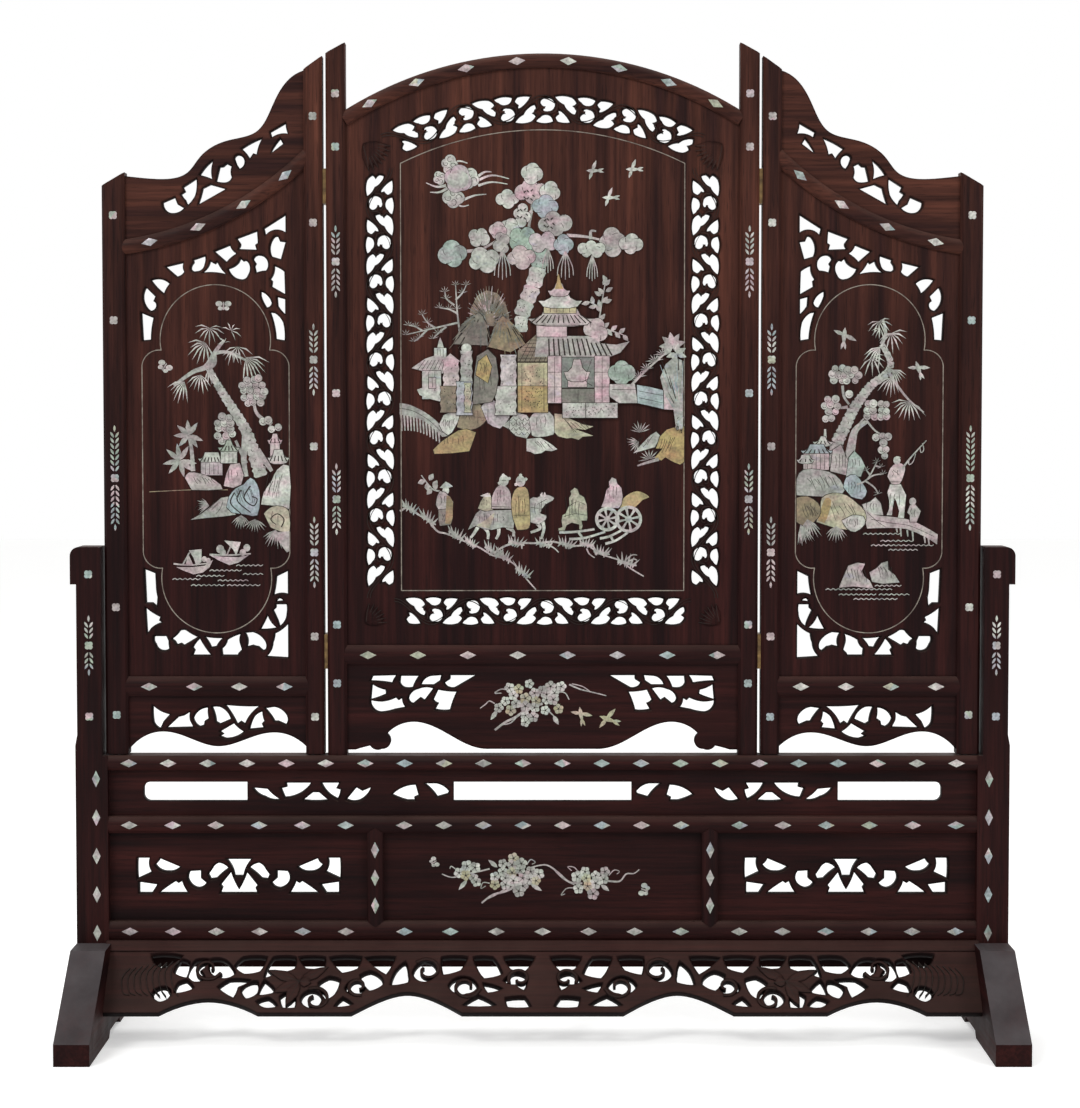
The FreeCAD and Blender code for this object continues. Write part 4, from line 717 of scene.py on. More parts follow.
block(palace, -81, -72, 506, 516, "white", 3)
layPlate(palace, [(-98, 501), (-88, 508), (-79, 511), (-73, 509), (-74, 497), (-90, 499)], "grey")
engrave(palace, *[[(-93 + 3 * i, 500), (-88 + 2.6 * i, 507)] for i in range(6)])
block(palace, -90, -76, 478, 499, "white", 2)
layPlate(palace, [(-94, 485), (-92, 481), (-84, 478), (-76, 476), (-76, 482), (-88, 487)], "white")
block(palace, -85, -80, 486, 494, "pink", 1)
pillars = ((-75, -62, 487, 507, "pink"), (-62, -52, 491, 514, "grey"), (-77, -64, 468, 487.5, "brown"),
           (-65, -52, 466, 491, "blue"), (-59, -53, 468, 490, "cream"), (-32, -19, 487.5, 511, "pink"),
           (-36, -19, 466, 487.5, "white"))
for left, right, low, high, tint in pillars:
    step = (high - low) / 6
    edge = [(right - 0.3 - (0.9 if i % 2 else 0), low + step * i) for i in range(7)]
    edge += [(left + 0.3 + (0.9 if i % 2 else 0), high - step * i) for i in range(7)]
    fitPlate(palace, edge, tint)
    flecks(palace, left, right, low, high, 10)
layPlate(palace, [(-75.5, 506), (-69, 512), (-61.5, 506)], "pink")
disc(palace, -57, 516, 3.8, 3.4, "white")
rock(palace, [(-52, 474), (-51, 496), (-49, 510), (-41, 515), (-35, 509), (-33, 494), (-35, 482),
              (-38, 476)], "brown", 5)
rock(palace, [(-50, 496), (-48, 506), (-42, 511), (-38, 502), (-41, 490)], "gold", 3)
block(palace, -18.5, 4, 468, 505, "gold")
block(palace, -18.5, 4, 488, 505, "cream")
engrave(palace, [(-15.5, 469), (-15.5, 504)], [(1, 469), (1, 504)])
flecks(palace, -15, 1, 470, 503, 60)
layPlate(palace, [(-18.5, 514), (-5, 526), (5.5, 513), (3, 506), (-18.5, 506)], "brown")
for i in range(6):
    engrave(palace, [(-17 + 3.6 * i, 506), (-9 + 2.6 * i, 522 - 1.6 * i)],
            [(-18 + 1.5 * i, 508 + 2.8 * i), (4 - 0.6 * i, 508 + 2.8 * i)])

stroke(palace, [(40, 518), (43, 542), (47, 566)], 1.4, 0.7, "grey")
stroke(palace, [(42, 532), (51, 529), (60, 526)], 1.2, 0.6, "grey")
stroke(palace, [(44, 545), (38, 549), (33, 551)], 1.0, 0.6, "grey")
climberLeaves = [(41 + 0.9 * i, 524 + 6.4 * i, 50 + 80 * (i % 2)) for i in range(7)]
climberLeaves += [(45 + 3 * i, 531 - i, 40 - 90 * (i % 2)) for i in range(6)]
climberLeaves += [(43 - 2.6 * i, 546 + 1.3 * i, 100 + 90 * (i % 2)) for i in range(4)]
climberLeaves += [(46, 550, 20), (47, 558, 30), (44, 555, 150), (45, 563, 60), (48, 565, 120)]
for x, z, angle in climberLeaves:
    leaf(palace, x, z, 6.2, 3.4, angle, "grey")
pad(palace, 30, 49, 518, 539, "pink")
layPlate(palace, [(-6, 509.5), (50, 509.5), (58, 512.5), (65, 521), (55, 518.5), (44, 519.5), (34, 525),
                  (-4, 525)], "grey")
for i in range(13):
    stroke(palace, [(5 + 3.9 * i, 510.5), (4.6 + 3.5 * i, 523 if i < 9 else 520)], 1.2, 1.0, "line")
block(palace, -4.5, 18, 524.5, 534, "pink")
roof(palace, -11, 38.5, 533, 545, 12, "grey", 12, 0.62)
block(palace, 1, 25, 542, 548, "cream", 4)
roof(palace, -3, 29.5, 546.5, 558, 5, "white")
roof(palace, 4, 20.5, 555, 564, 2.2, "pink")
layPlate(palace, [(9, 560), (15.5, 560), (13.5, 565), (12.2, 571), (11.4, 571), (10.6, 565)], "gold")
for left, right in ((4, 14), (39, 50)):
    block(palace, left, right, 475, 510, "pink", 1)
    engrave(palace, [(left, 487), (right, 487)], [(left, 498), (right, 498)])
block(palace, 14.5, 38.5, 486.5, 509, "slate")
block(palace, 14.5, 38.5, 475, 485.5, "brown", 1)
block(palace, 19, 33, 487, 493.5, "pink")
roof(palace, 16, 35.5, 492, 507.5, 2.4, "pink")
engrave(palace, [(37, 488), (32, 493), (37, 508)], [(-4, 533), (34, 533)])
block(palace, 15, 32, 464, 475, "white")
block(palace, 32.5, 56, 464, 475, "white")
flecks(palace, 15, 56, 464, 475, 45)
pad(palace, 49, 69, 488, 507, "green")
fitPlate(palace, [(50, 489), (69, 489), (71, 475), (57, 475), (50, 480)], "white")
fitPlate(palace, [(70.5, 488.5), (80, 487), (90, 484.5), (90.5, 470.5), (80, 473), (71, 475)], "blue")
fitPlate(palace, [(90.6, 484.3), (98, 483), (99.5, 478), (98, 470), (91, 470.3)], "pink")
engrave(palace, [(52, 485), (70, 485)], [(72, 484), (90, 480.5)], [(72, 479), (90, 475)])
stroke(palace, [(66, 488), (78, 500), (94, 514)], 2.0, 1.0, "grey")
for x, z in ((72, 494), (78, 500), (84, 506), (90, 511), (94, 515)):
    spray(palace, x, z, 7, 20, 200, 8, "grey", 0.1)
leaves(palace, 97, 518, 10, 4.6, (15, 60, 100, 140, 185, 230, 320), "grey")
leaves(palace, 100, 512, 8, 4.0, (-20, 30, 80, 200, 250), "white")
thatch(palace, [(100, 455), (98, 470), (91, 482), (88, 494), (92, 504), (98, 509), (104, 507), (105, 495),
                (105, 456)], "grey", (103, 466), 60, ("blue", "line", "pink", "blue"))
finishPicture(palace, "centre_leaf")

# Centre field: bridge, rocks and grass along the water
shore = newPicture("shorePicture", "centre_fretwork_panel")
layPlate(shore, curved([(-107, 475), (-99, 473.5), (-88, 468), (-79, 461), (-71, 450.5)], 3)
         + curved([(-75, 449.5), (-83, 457), (-92, 463), (-107, 466.5)], 3), "grey")
engrave(shore, [(-107, 471), (-97, 469), (-85, 462), (-75, 452.5)])
bridgeTeeth = [(-106 + 2.35 * i, 466.5 - 0.045 * i * i * 2.1) for i in range(13)]
comb(shore, bridgeTeeth, [12.5 - 0.35 * i for i in range(13)], 1.5)
rock(shore, [(-77.5, 459), (-74, 466), (-68, 468.5), (-62, 466), (-64, 460), (-68, 453), (-71, 451),
             (-75, 454)], "white", 6)
boulder(shore, [(-64, 457), (-62, 465), (-57, 472), (-51, 475), (-44, 472), (-41, 466), (-44, 460),
                (-50, 456), (-57, 454.5)], "brown", 4)
boulder(shore, [(-46, 472), (-42, 476.5), (-38, 477.5), (-31, 473.5), (-26, 468), (-25, 464), (-32, 456),
                (-41, 460)], "pink", 2)
rock(shore, curved([(-82, 440), (-76, 446), (-70, 450), (-63, 454.5), (-57, 455.5), (-50, 453),
                    (-52, 447), (-55, 439), (-68, 437.5), (-81, 437)], 1), "gold", 5)
rock(shore, [(-30, 458), (-24, 463), (-20, 468), (-12, 466), (-8.5, 461), (-7, 456), (-12, 448.5),
             (-20, 450.5), (-26, 456)], "white")
for row in range(4):
    for i in range(4):
        x, z = -24 + 4.2 * i + (row % 2) * 2, 464 - 3.6 * row
        engrave(shore, [(x - 2, z), (x, z - 2.2), (x + 2, z)])
boulder(shore, [(-10, 463), (-5, 469), (2, 470), (8, 465), (9, 458), (8, 451.5), (-4, 449.5), (-8, 451)],
        "white", 3)
rock(shore, [(-12, 439), (-12, 448), (-2, 449), (3, 446.5), (8, 443), (11, 440.5), (7, 439), (2, 439.5),
             (-1, 437.5), (-6, 436.8), (-9, 438.5)], "white", 5, 4)
rock(shore, [(9, 467), (15, 466.5), (20, 463.5), (30, 459), (38, 457.5), (32, 455), (23, 456),
             (38, 450.5), (30, 449.8), (27, 447.5), (22, 449), (18, 448.6), (12, 450), (9, 453)],
     "cream", 6, 7)
for x, z, low, high in ((73, 453, 20, 165), (72, 446, 150, 260), (80, 433, 20, 190)):
    spray(shore, x, z, 9, low, high, 8, "grey", 0.0)
rock(shore, [(68, 437.5), (75, 445), (81, 451), (85, 453.5), (88.5, 450), (84, 442)], "white", 4, -4)
rock(shore, [(85, 441), (88, 450), (93, 455), (98, 456.5), (106, 457.5), (106, 431), (103, 429),
             (99, 430.5), (96, 432), (92, 434.5), (89, 432), (84, 434), (90, 441)], "gold", 6, -4)
stroke(shore, [(71, 428), (77, 430), (87, 433)], 1.0, 2.6, "grey")
finishPicture(shore, "centre_leaf")

# Centre field: travellers on the road
road = newPicture("roadPicture", "centre_fretwork_panel")
slope = [(-107, 394), (-100, 397), (-94, 392), (-86, 387), (-79, 379), (-72, 377), (-60, 372), (-48, 367),
         (-38, 361), (-28, 358), (-20, 353), (-12, 343), (-5, 335)]
slopeTufts = ((-100, 396, 5), (-86, 388, 5.5), (-65, 376, 5.5), (-54, 370, 4), (-38, 364, 5.5),
              (-29, 360, 5), (-15, 348, 5.5))
grassLine(road, slope, slopeTufts, -36)
verge = [(-37, 362), (-28, 368), (-18, 370), (-4, 370), (8, 371), (22, 368), (34, 368), (43, 362),
         (58, 357), (66, 351), (76, 345)]
vergeTufts = ((-20, 370, 5), (1, 369, 5), (18, 369, 5), (33, 369, 4.5), (44, 363, 5), (63, 355, 6))
grassLine(road, verge, vergeTufts, -14)
strokes(road, ([(4, 369), (9, 366), (12, 363)], [(33, 366), (35, 362), (39, 359)],
               [(62, 357), (67, 361), (71, 361)], [(63, 355), (68, 358), (71, 357)]), 1.2, 0.7)

stroke(road, [(-77, 409), (-83, 411), (-91, 421)], 1.3, 0.8, "grey")
for x, z, angle in ((-88, 417, 200), (-85, 417, 60), (-82, 412, 60), (-83, 411, 230), (-87, 415, 280),
                    (-80, 410, 100)):
    leaf(road, x, z, 6, 4.2, angle, "grey")
disc(road, -72.6, 409.5, 2.5, 3, "white")
layPlate(road, [(-77.2, 411.5), (-74.5, 414.5), (-72.6, 416.2), (-70, 414.8), (-67.3, 412.6), (-72, 411)],
         "white")
rock(road, [(-80, 399), (-79, 405), (-77, 409), (-73, 408), (-70, 405), (-67, 401), (-68, 396),
            (-78, 395)], "grey", 3)
rock(road, [(-78, 395), (-68, 396), (-67.5, 389), (-69, 384), (-77, 383), (-78, 388)], "brown", 3)
layPlate(road, [(-72, 406), (-69.5, 405), (-67.2, 401), (-67.5, 389), (-69, 384.5), (-73, 384.5),
                (-72.5, 396)], 0.85)

strokes(road, ([(-48, 383), (-51, 378), (-54, 374)], [(-44, 382), (-41, 378), (-41, 373)],
               [(-33, 382), (-33, 377), (-35, 373)], [(-27, 382), (-22, 379), (-22, 375)],
               [(-4, 385), (-2, 381), (-9, 378)], [(0, 386), (1, 381), (-1, 373)]), 2.8, 1.8, "white")
rock(road, [(-56, 380), (-50, 392), (-46, 395.5), (-36, 394.5), (-22, 395), (-21, 388), (-22, 381),
            (-30, 382), (-38, 380), (-45, 381), (-50, 383)], "grey", 7)
layPlate(road, curved([(-50, 383), (-42, 388), (-36, 393), (-38, 386), (-40, 381)], 2), "cream")
rock(road, [(-48.5, 396), (-46, 402), (-43, 406.5), (-39.5, 407.5), (-38, 401), (-37.5, 395), (-43, 394)],
     "cream", 3)
layPlate(road, [(-47, 405.5), (-41, 407.8), (-38.5, 405), (-43, 404.5)], "white")
boulder(road, [(-38, 396), (-38, 404), (-35, 411), (-31, 414), (-27, 412), (-24, 407), (-23.5, 396)],
        "pink", 3)
disc(road, -29, 417, 3.6, 4.2, "white")
for x, z in ((-32.5, 415), (-25, 418.5), (-29.5, 421)):
    disc(road, x, z, 1.2)
boulder(road, [(-10, 386), (-9.5, 403), (-4, 404), (1, 406.5), (8, 404.5), (7.5, 402), (2, 399),
               (-2, 392.5), (2.5, 391), (2, 387.5), (-3, 384)], "white", 4)
for side in (-1.5, 1.5):
    leaf(road, side, 404.5, 4, 1.8, 80 + side * 6)
engrave(road, [(6, 401), (-1, 394)], [(3, 403), (-4, 399)], [(-9, 397), (-3, 396)])
boulder(road, [(-22, 388), (-23.5, 399), (-22, 407), (-19, 411.5), (-13, 412), (-10.5, 407), (-9.7, 396),
               (-9.5, 384), (-12, 380.5), (-19, 380)], "gold", 5)
disc(road, -16.5, 416.5, 3.6, 4.2, "white")
for x, z in ((-20, 414), (-12.5, 418), (-16.5, 421)):
    disc(road, x, z, 1.2)
engrave(road, [(-18, 416), (-15, 416)], [(-30.5, 417), (-27.5, 417)], [(-22, 391), (-10, 391)],
        [(-38, 397.5), (-24, 397)])

rock(road, [(12, 379.5), (12, 381), (15, 382), (14.3, 387), (15, 391), (17, 392), (20, 398), (20, 404),
            (21.5, 406.5), (21, 409), (24, 411.5), (26, 410.5), (27.5, 406.5), (31, 404.5), (33, 399),
            (33.5, 389), (33, 387), (29, 387), (30, 383), (29, 380), (27.5, 380.5), (27.5, 384),
            (22, 385.5), (18, 383.5), (16.5, 379.5)], "cream", 6)
engrave(road, [(20, 398), (26, 401), (32, 399)], [(16, 390), (24, 392), (33, 391)])
strokes(road, ([(12.5, 378), (25, 378.5), (39, 380.5)], [(20, 373), (32, 374), (47, 378.5)],
               [(43, 373.5), (50, 375), (59, 379.5)], [(47, 369.5), (55, 372), (64, 378)],
               [(27, 378), (30, 374)], [(51, 375.5), (53, 371.5)]), 1.9, 1.6, "white")
layPlate(road, curved([(57, 397), (61, 404), (66, 407.5), (71, 409), (76, 407.5), (80, 404.5),
                       (75, 402.5), (70, 397.5), (64, 396)], 2), "gold")
rock(road, [(44, 397), (46, 402), (47, 406), (48, 410), (50, 412), (49.8, 416), (52, 419.3), (55, 418),
            (56, 414.5), (59, 411.5), (60, 405), (59, 399), (57, 396.3)], "pink", 4)
disc(road, 53, 415.5, 2.6, 3.0, "white")
for x, z, radius in ((48.5, 388, 9.2), (64.5, 388, 10.2)):
    rim = [around(x, z, radius - 1.2, 15 * i) for i in range(25)]
    stroke(road, rim, 2.3, 2.3, "white")
    for i in range(8):
        inner, outer = around(x, z, radius * 0.25, 45 * i + 12), around(x, z, radius * 0.85, 45 * i + 12)
        stroke(road, [inner, outer], 1.1, 2.2, "white")
    disc(road, x, z, radius * 0.26, None, "white")
finishPicture(road, "centre_leaf")

# Left wing: palm, water garden and boats
lake = newPicture("lakePicture", "left_wing_fretwork_panel")
butterfly(lake, -238.5, 547.5, 6, 0)
butterfly(lake, -283, 502, 6, -35)
stroke(lake, [(-295, 408.5), (-262, 410), (-236, 410)], 0.6, 0.5, "brown")
lakePalm = {"trunk": [(-211, 420), (-216, 436), (-221, 452), (-229, 466), (-238, 480), (-244, 490),
                      (-251, 503)],
            "widths": (10, 4.6),
            "branches": (([(-246, 510), (-252, 502), (-262, 498), (-276, 488)], 5, 2),
                         ([(-246, 512), (-246, 505), (-251, 501)], 3.5, 5),
                         ([(-238, 522), (-243, 516), (-246, 511)], 2, 3.5),
                         ([(-246, 512), (-236, 513), (-222, 507)], 3, 1.6),
                         ([(-222, 455), (-223, 445), (-224, 432), (-222, 420)], 6, 3),
                         ([(-214, 440), (-207, 430), (-203, 424)], 5, 2.5),
                         ([(-230, 447), (-226, 438), (-222, 430)], 2, 2.5),
                         ([(-216, 492), (-216, 475), (-213, 466), (-203, 459)], 1.6, 3)),
            "fans": ((-249, 531, 11, 160, 378, 9), (-252, 520, 14, 165, 300, 8),
                     (-233, 529, 8, -60, 150, 6), (-238, 520, 6, 20, 180, 4),
                     (-228, 517, 11, 190, 345, 6), (-232, 514, 9, 195, 330, 6),
                     (-222, 509, 17, 262, 362, 8), (-268, 491, 14, 185, 280, 7),
                     (-256, 496, 12, 200, 320, 7), (-250, 500, 10, 250, 320, 5)),
            "ovals": ((-216.6, 484, 10.5, 11), (-238, 455.5, 7, 9.5), (-207, 462, 6, 3.5),
                      (-200, 456, 4, 4))}
palm(lake, lakePalm)
for x, z, reach, angles in ((-265, 451, 11.5, (95, 140, 182, 228, 305, 338, 55)),
                            (-272, 432, 13, (98, 140, 192, 230, 285, 322, 350, 58))):
    leaves(lake, x, z, reach, 3.8, angles, "grey")
stroke(lake, [(-265, 450), (-263, 440), (-262, 424)], 2, 3.4, "grey")
roof(lake, -258, -238, 430, 438, 5, "white", 7)
block(lake, -256, -240, 421, 430.5, "pink", 4)
roof(lake, -243, -227, 438, 447, 1.5, "green", 5)
block(lake, -241, -229, 430, 438.5, "white", 3)
boulder(lake, [(-268, 419), (-265, 423), (-256, 422), (-247, 418), (-240, 410.5), (-263, 410)],
        "grey", 6, 3)
rock(lake, [(-239, 413), (-237, 422), (-234, 429), (-227, 430), (-224, 421), (-226, 414), (-232, 411.5)],
     "pink", 3)
roof(lake, -206, -195, 444, 452, 1.5, "pink", 3)
block(lake, -204, -197, 434, 445, "pink", 1)
roof(lake, -206, -190, 430, 440, 3, "white", 5)
rock(lake, [(-264, 387.5), (-256, 392), (-248, 398), (-241, 404), (-235, 405), (-234, 396), (-230, 391.5),
            (-240, 390), (-252, 389)], "grey", 6, -5)
boulder(lake, [(-211, 399), (-209, 408), (-203, 417), (-199, 425), (-190, 428), (-190, 396), (-199, 398)],
        "white", 7, -3)
boulder(lake, [(-237, 397), (-235, 405), (-230, 411), (-224, 414), (-219, 419), (-214, 414), (-212, 404),
               (-214, 391), (-222, 391.5), (-233, 393)], "blue", 8, 3)
strokes(lake, ([(-231, 408), (-234, 400), (-226, 392)], [(-226, 410), (-229, 402), (-219, 393)],
               [(-219, 413), (-224, 404), (-217, 398), (-214, 403), (-218, 405)]), 1.0, 0.8, "line")
boulder(lake, [(-209, 392), (-205, 396), (-199, 398), (-192, 396), (-190, 391), (-190, 379), (-197, 379),
               (-204, 382)], "cream", 2)
stroke(lake, [(-196, 382), (-194, 388), (-199, 392), (-204, 388), (-200, 384)], 1.0, 0.6, "line")
for fan in ((-250, 398, 10, 130, 215), (-226, 391, 10, 215, 320), (-216, 388, 10, 210, 330),
            (-200, 380, 13, 205, 300)):
    spray(lake, *fan, 9, "grey", 0.1)
layPlate(lake, [(-203, 378), (-192, 363), (-190, 364), (-190, 379)], "grey")
for outline, tint in (([(-275, 352), (-270, 349.5), (-262, 346.5), (-255, 348), (-250, 352),
                        (-247.5, 357.5), (-254, 353), (-263, 352)], "pink"),
                      ([(-250, 361), (-243, 357), (-235, 353.5), (-228, 355.5), (-220.5, 361),
                        (-228, 359.5), (-240, 359.8)], "pink"),
                      ([(-265.5, 364.5), (-256, 365.5), (-256, 356), (-260, 353), (-262, 359)], "white"),
                      ([(-239, 372), (-226.5, 370.8), (-230, 360.5), (-232, 365)], "white"),
                      ([(-266, 362), (-268, 354), (-262, 353)], "grey")):
    layPlate(lake, outline, tint)
strokes(lake, ([(-277, 354.5), (-265, 353.5), (-250, 355)], [(-250, 361.5), (-236, 361), (-219, 362)],
               [(-270, 354), (-265, 363)], [(-237, 361), (-234, 368)]), 1.2, 1.0)
for x, z, r in ((-242, 365.5, 3), (-240, 363, 2.4), (-222, 366.5, 2.6), (-225, 363, 2.4), (-254, 358, 2),
                (-251, 357, 1.8)):
    disc(lake, x, z, r, r * 1.1, "grey", 10)
ripples(lake, ((-230, -210, 353.3), (-250, -226, 349.5), (-225, -210, 346.8), (-260, -239, 345.4),
               (-278, -257, 343), (-244, -221, 342), (-264, -239, 338.4), (-237, -212, 338.4)))
finishPicture(lake, "left_wing")

# Right wing: palm, temple and fisher
fishing = newPicture("fishingPicture", "right_wing_fretwork_panel", shift=3.5)
swallow(fishing, 222, 524, 17, -95, "grey")
swallow(fishing, 278, 500, 15, -70)
fishingPalm = {"trunk": [(214, 427), (217, 445), (223, 457), (229, 470), (236, 480), (243, 489),
                         (254, 497), (257, 506), (250, 519)],
               "widths": (10, 4.2),
               "branches": (([(239, 461), (231, 455), (228, 444), (225, 425)], 3, 8),
                            ([(251, 537), (253, 527), (250, 519)], 1.6, 3.2),
                            ([(252, 526), (263, 527)], 2, 1),
                            ([(256, 497), (262, 488), (271, 477), (282, 468)], 2.4, 1),
                            ([(226, 474), (222, 480), (221, 488)], 1.6, 2),
                            ([(225, 472), (216, 471)], 2.4, 1.2),
                            ([(239, 462), (246, 454), (254, 450)], 1.6, 1),
                            ([(229, 452), (234, 460), (240, 466)], 1.4, 1)),
               "fans": ((248, 536, 10, 185, 385, 8), (249, 531, 8, 185, 290, 5),
                        (257, 527, 12, 200, 380, 8), (249, 517, 14, 195, 265, 6),
                        (243, 509, 12, 215, 385, 7), (258, 500, 12, 280, 352, 6),
                        (258, 494, 12, 195, 300, 7), (271, 476, 14, 170, 330, 9)),
               "ovals": ((222.5, 496, 11.5, 7.5), (212.5, 473, 6.5, 6), (210, 464, 5, 4),
                         (225, 481, 3.5, 3), (247, 469.5, 10, 8.5), (251, 450, 7, 4), (252, 440, 4, 5))}
palm(fishing, fishingPalm)
layPlate(fishing, [(206.8, 446), (207.4, 455.5), (208.8, 455.5), (209.4, 446)], "white")
roof(fishing, 199, 214, 443, 450, 1.5, "white", 4)
roof(fishing, 190, 214, 436, 444, 5, "blue", 6)
block(fishing, 192, 211, 425, 437, "pink", 5)
roof(fishing, 187, 200, 430, 436, 3, "white", 3)
rock(fishing, [(212, 424), (214, 440), (220, 444), (226, 430), (228, 420)], "grey", 4)
rock(fishing, [(224, 420), (226, 434), (230, 439), (235, 434), (238, 428), (235, 420)], "green", 3)
boulder(fishing, [(187, 406), (187, 418), (192, 425), (205, 425), (216, 421), (222, 413), (221, 407),
                  (206, 405)], "grey", 9, 4)
boulder(fishing, [(222, 412), (224, 419), (231, 421.5), (236, 415), (239.5, 409), (236, 403), (228, 405)],
        "blue", 5)
rock(fishing, [(236, 399), (242, 401), (246, 404.5), (250, 400), (252, 391), (240, 392)], "white", 4)
layPlate(fishing, curved([(236, 397), (245, 391.5), (256, 390), (270, 388), (282, 383), (293, 376.5)], 2)
         + curved([(292.5, 369), (284, 374.5), (270, 380.5), (256, 381.5), (240, 381)], 2), "grey")
engrave(fishing, [(243, 388), (258, 385), (272, 383), (290, 375)], [(240, 393), (248, 386), (254, 382)])
comb(fishing, [(262, 381), (265, 381), (270, 380), (274, 379), (283, 375), (286, 374)],
     (3, 6, 5, 7, 5, 6), 1.4)
boulder(fishing, [(202, 386), (205, 397), (206, 404), (214, 407.5), (224, 406), (232, 400), (238, 394),
                  (239, 387), (234, 381), (226, 380), (214, 382)], "cream", 6, 5)
layPlate(fishing, curved([(203, 387), (206, 398), (209, 404), (213, 402), (211, 392), (208, 385)], 2),
         "gold")
boulder(fishing, [(221, 387), (225, 381), (231, 378.5), (238, 384), (237, 390), (229, 391)], "white", 4)
boulder(fishing, [(187, 404), (195, 405), (203, 400), (205, 393), (200, 386), (193, 383), (187, 386)],
        "brown", 7, 3)
for fan in ((195, 388, 15, 240, 325), (217, 383, 11, 215, 320), (190, 384, 14, 262, 315)):
    spray(fishing, *fan, 9, "grey", 0.1)
for path in ([(232, 414), (240, 418), (247, 431)], [(240, 418), (245, 421), (252, 422)],
             [(238, 417), (245, 412), (248, 407)], [(242, 421), (239, 425)], [(246, 428), (250, 427)]):
    stroke(fishing, path, 1.4, 0.8, "grey")
    spray(fishing, *path[-1], 3.6, 20, 200, 5, "grey", 0.0)
rock(fishing, [(257, 414), (265, 414), (269, 406), (268, 396), (267.5, 389), (263, 389), (264, 394),
               (262, 401), (260.5, 404), (259, 397), (258.5, 391), (254.5, 391), (256.5, 396),
               (256.5, 402), (255, 408)], "white", 3)
boulder(fishing, [(255, 420), (257, 426), (262, 430), (268, 428), (267, 421), (264, 414.5), (258, 414.5)],
        "pink", 2)
disc(fishing, 262, 432, 2.7, 3.0, "white")
leaf(fishing, 259.5, 433.5, 5.5, 2.6, 10)
engrave(fishing, [(257, 416), (265, 416)], [(259, 425), (264, 421)])
stroke(fishing, [(266, 426), (273, 435), (284, 447)], 1.6, 0.6, "grey")
strokes(fishing, ([(271, 433), (271, 429), (274, 431), (276, 437)],
                  [(279, 442), (280, 438), (282, 440), (281, 445)]), 0.7, 0.6)
rock(fishing, [(270, 393), (272, 398.5), (276, 399), (280, 394), (279, 391), (277, 386), (272, 386),
               (272, 391)], "grey", 2)
disc(fishing, 274, 401.3, 2.6, 2.8, "grey")
for outline in ([(219, 336.5), (223, 346), (226, 353), (233, 355.3), (238.5, 354.5), (236, 349),
                 (238, 345), (242, 342), (245, 336), (230, 337.5)],
                [(242, 348), (247, 351), (251, 355), (255.5, 356.5), (256, 350), (261, 346),
                 (264.5, 340.5), (252, 339.5), (244, 341)]):
    rock(fishing, outline, "grey", 6, 2)
ripples(fishing, ((237, 265, 377), (250, 275, 371.7), (243, 290, 368.4), (256, 278, 365),
                  (209, 259, 335.3), (246, 266, 338), (219, 247, 331.4), (249, 272, 331.4),
                  (230, 263, 328)))
finishPicture(fishing, "right_wing")

# Flower sprays on the middle bay and on the centre apron
bay = newPicture("bayPicture", "inlaid_bay_panel")
for stem in (([(-76, 120), (-68, 117.5), (-58, 120), (-48, 122), (-40, 124)], 0.8, 1.2),
             ([(-46, 98), (-38, 104), (-28, 107), (-18, 112)], 1.2, 2.0),
             ([(-42, 101), (-34, 105), (-24, 112)], 0.8, 1.0),
             ([(-12, 124), (-3, 126.5), (4, 126.5), (12, 121), (20, 114), (30, 113)], 0.9, 1.6),
             ([(8, 124), (15, 117), (24, 112)], 0.7, 1.2),
             ([(48, 115), (58, 114.5), (63, 120), (69, 120.5), (73, 123.5)], 1.5, 0.7)):
    stroke(bay, *stem, "grey")
strokes(bay, ([(-40, 113), (-45, 113.5), (-46.5, 109), (-43, 111)],
              [(-12, 127), (-9, 131), (-5.5, 129), (-8, 127.5)],
              [(28, 120), (24, 125), (19, 125.5), (22, 122.5)],
              [(24, 109.5), (18, 109), (14, 104), (17, 105)],
              [(50, 119), (54, 123), (58, 122), (56, 120)], [(-66, 124), (-69, 126), (-70, 124)]),
        0.8, 0.56)
for x, z, length, angle in ((-57, 115.5, 10, 230), (-34, 125, 9, 140), (-9, 112.5, 10, -32),
                            (44, 112, 8, -38)):
    leaf(bay, x, z, length, 3.4, angle, "white")
bayBlossoms = ((-57, 126), (-63, 121), (-58, 119), (-51, 125), (-52, 117), (-50, 114), (-30, 128),
               (-22, 132), (-16, 128), (-23, 127), (-36, 118), (-30, 122), (-23, 121), (-17, 123),
               (-9, 122), (-3, 120), (-28, 117), (-36, 112), (-22, 115), (-15, 117), (-28, 112),
               (-10, 116), (-5, 115), (-15, 111), (-18, 107), (32, 122), (26, 118), (33, 117), (40, 119),
               (47, 122), (46, 116), (40, 113), (34, 111), (27, 109), (38, 105))
blossoms(bay, bayBlossoms, 4.1, ("white", "white", "cream", "white", "grey"))
butterfly(bay, 77, 108, 5.5, 70)
butterfly(bay, -82, 129, 4.5, -60)
finishPicture(bay, "stand")

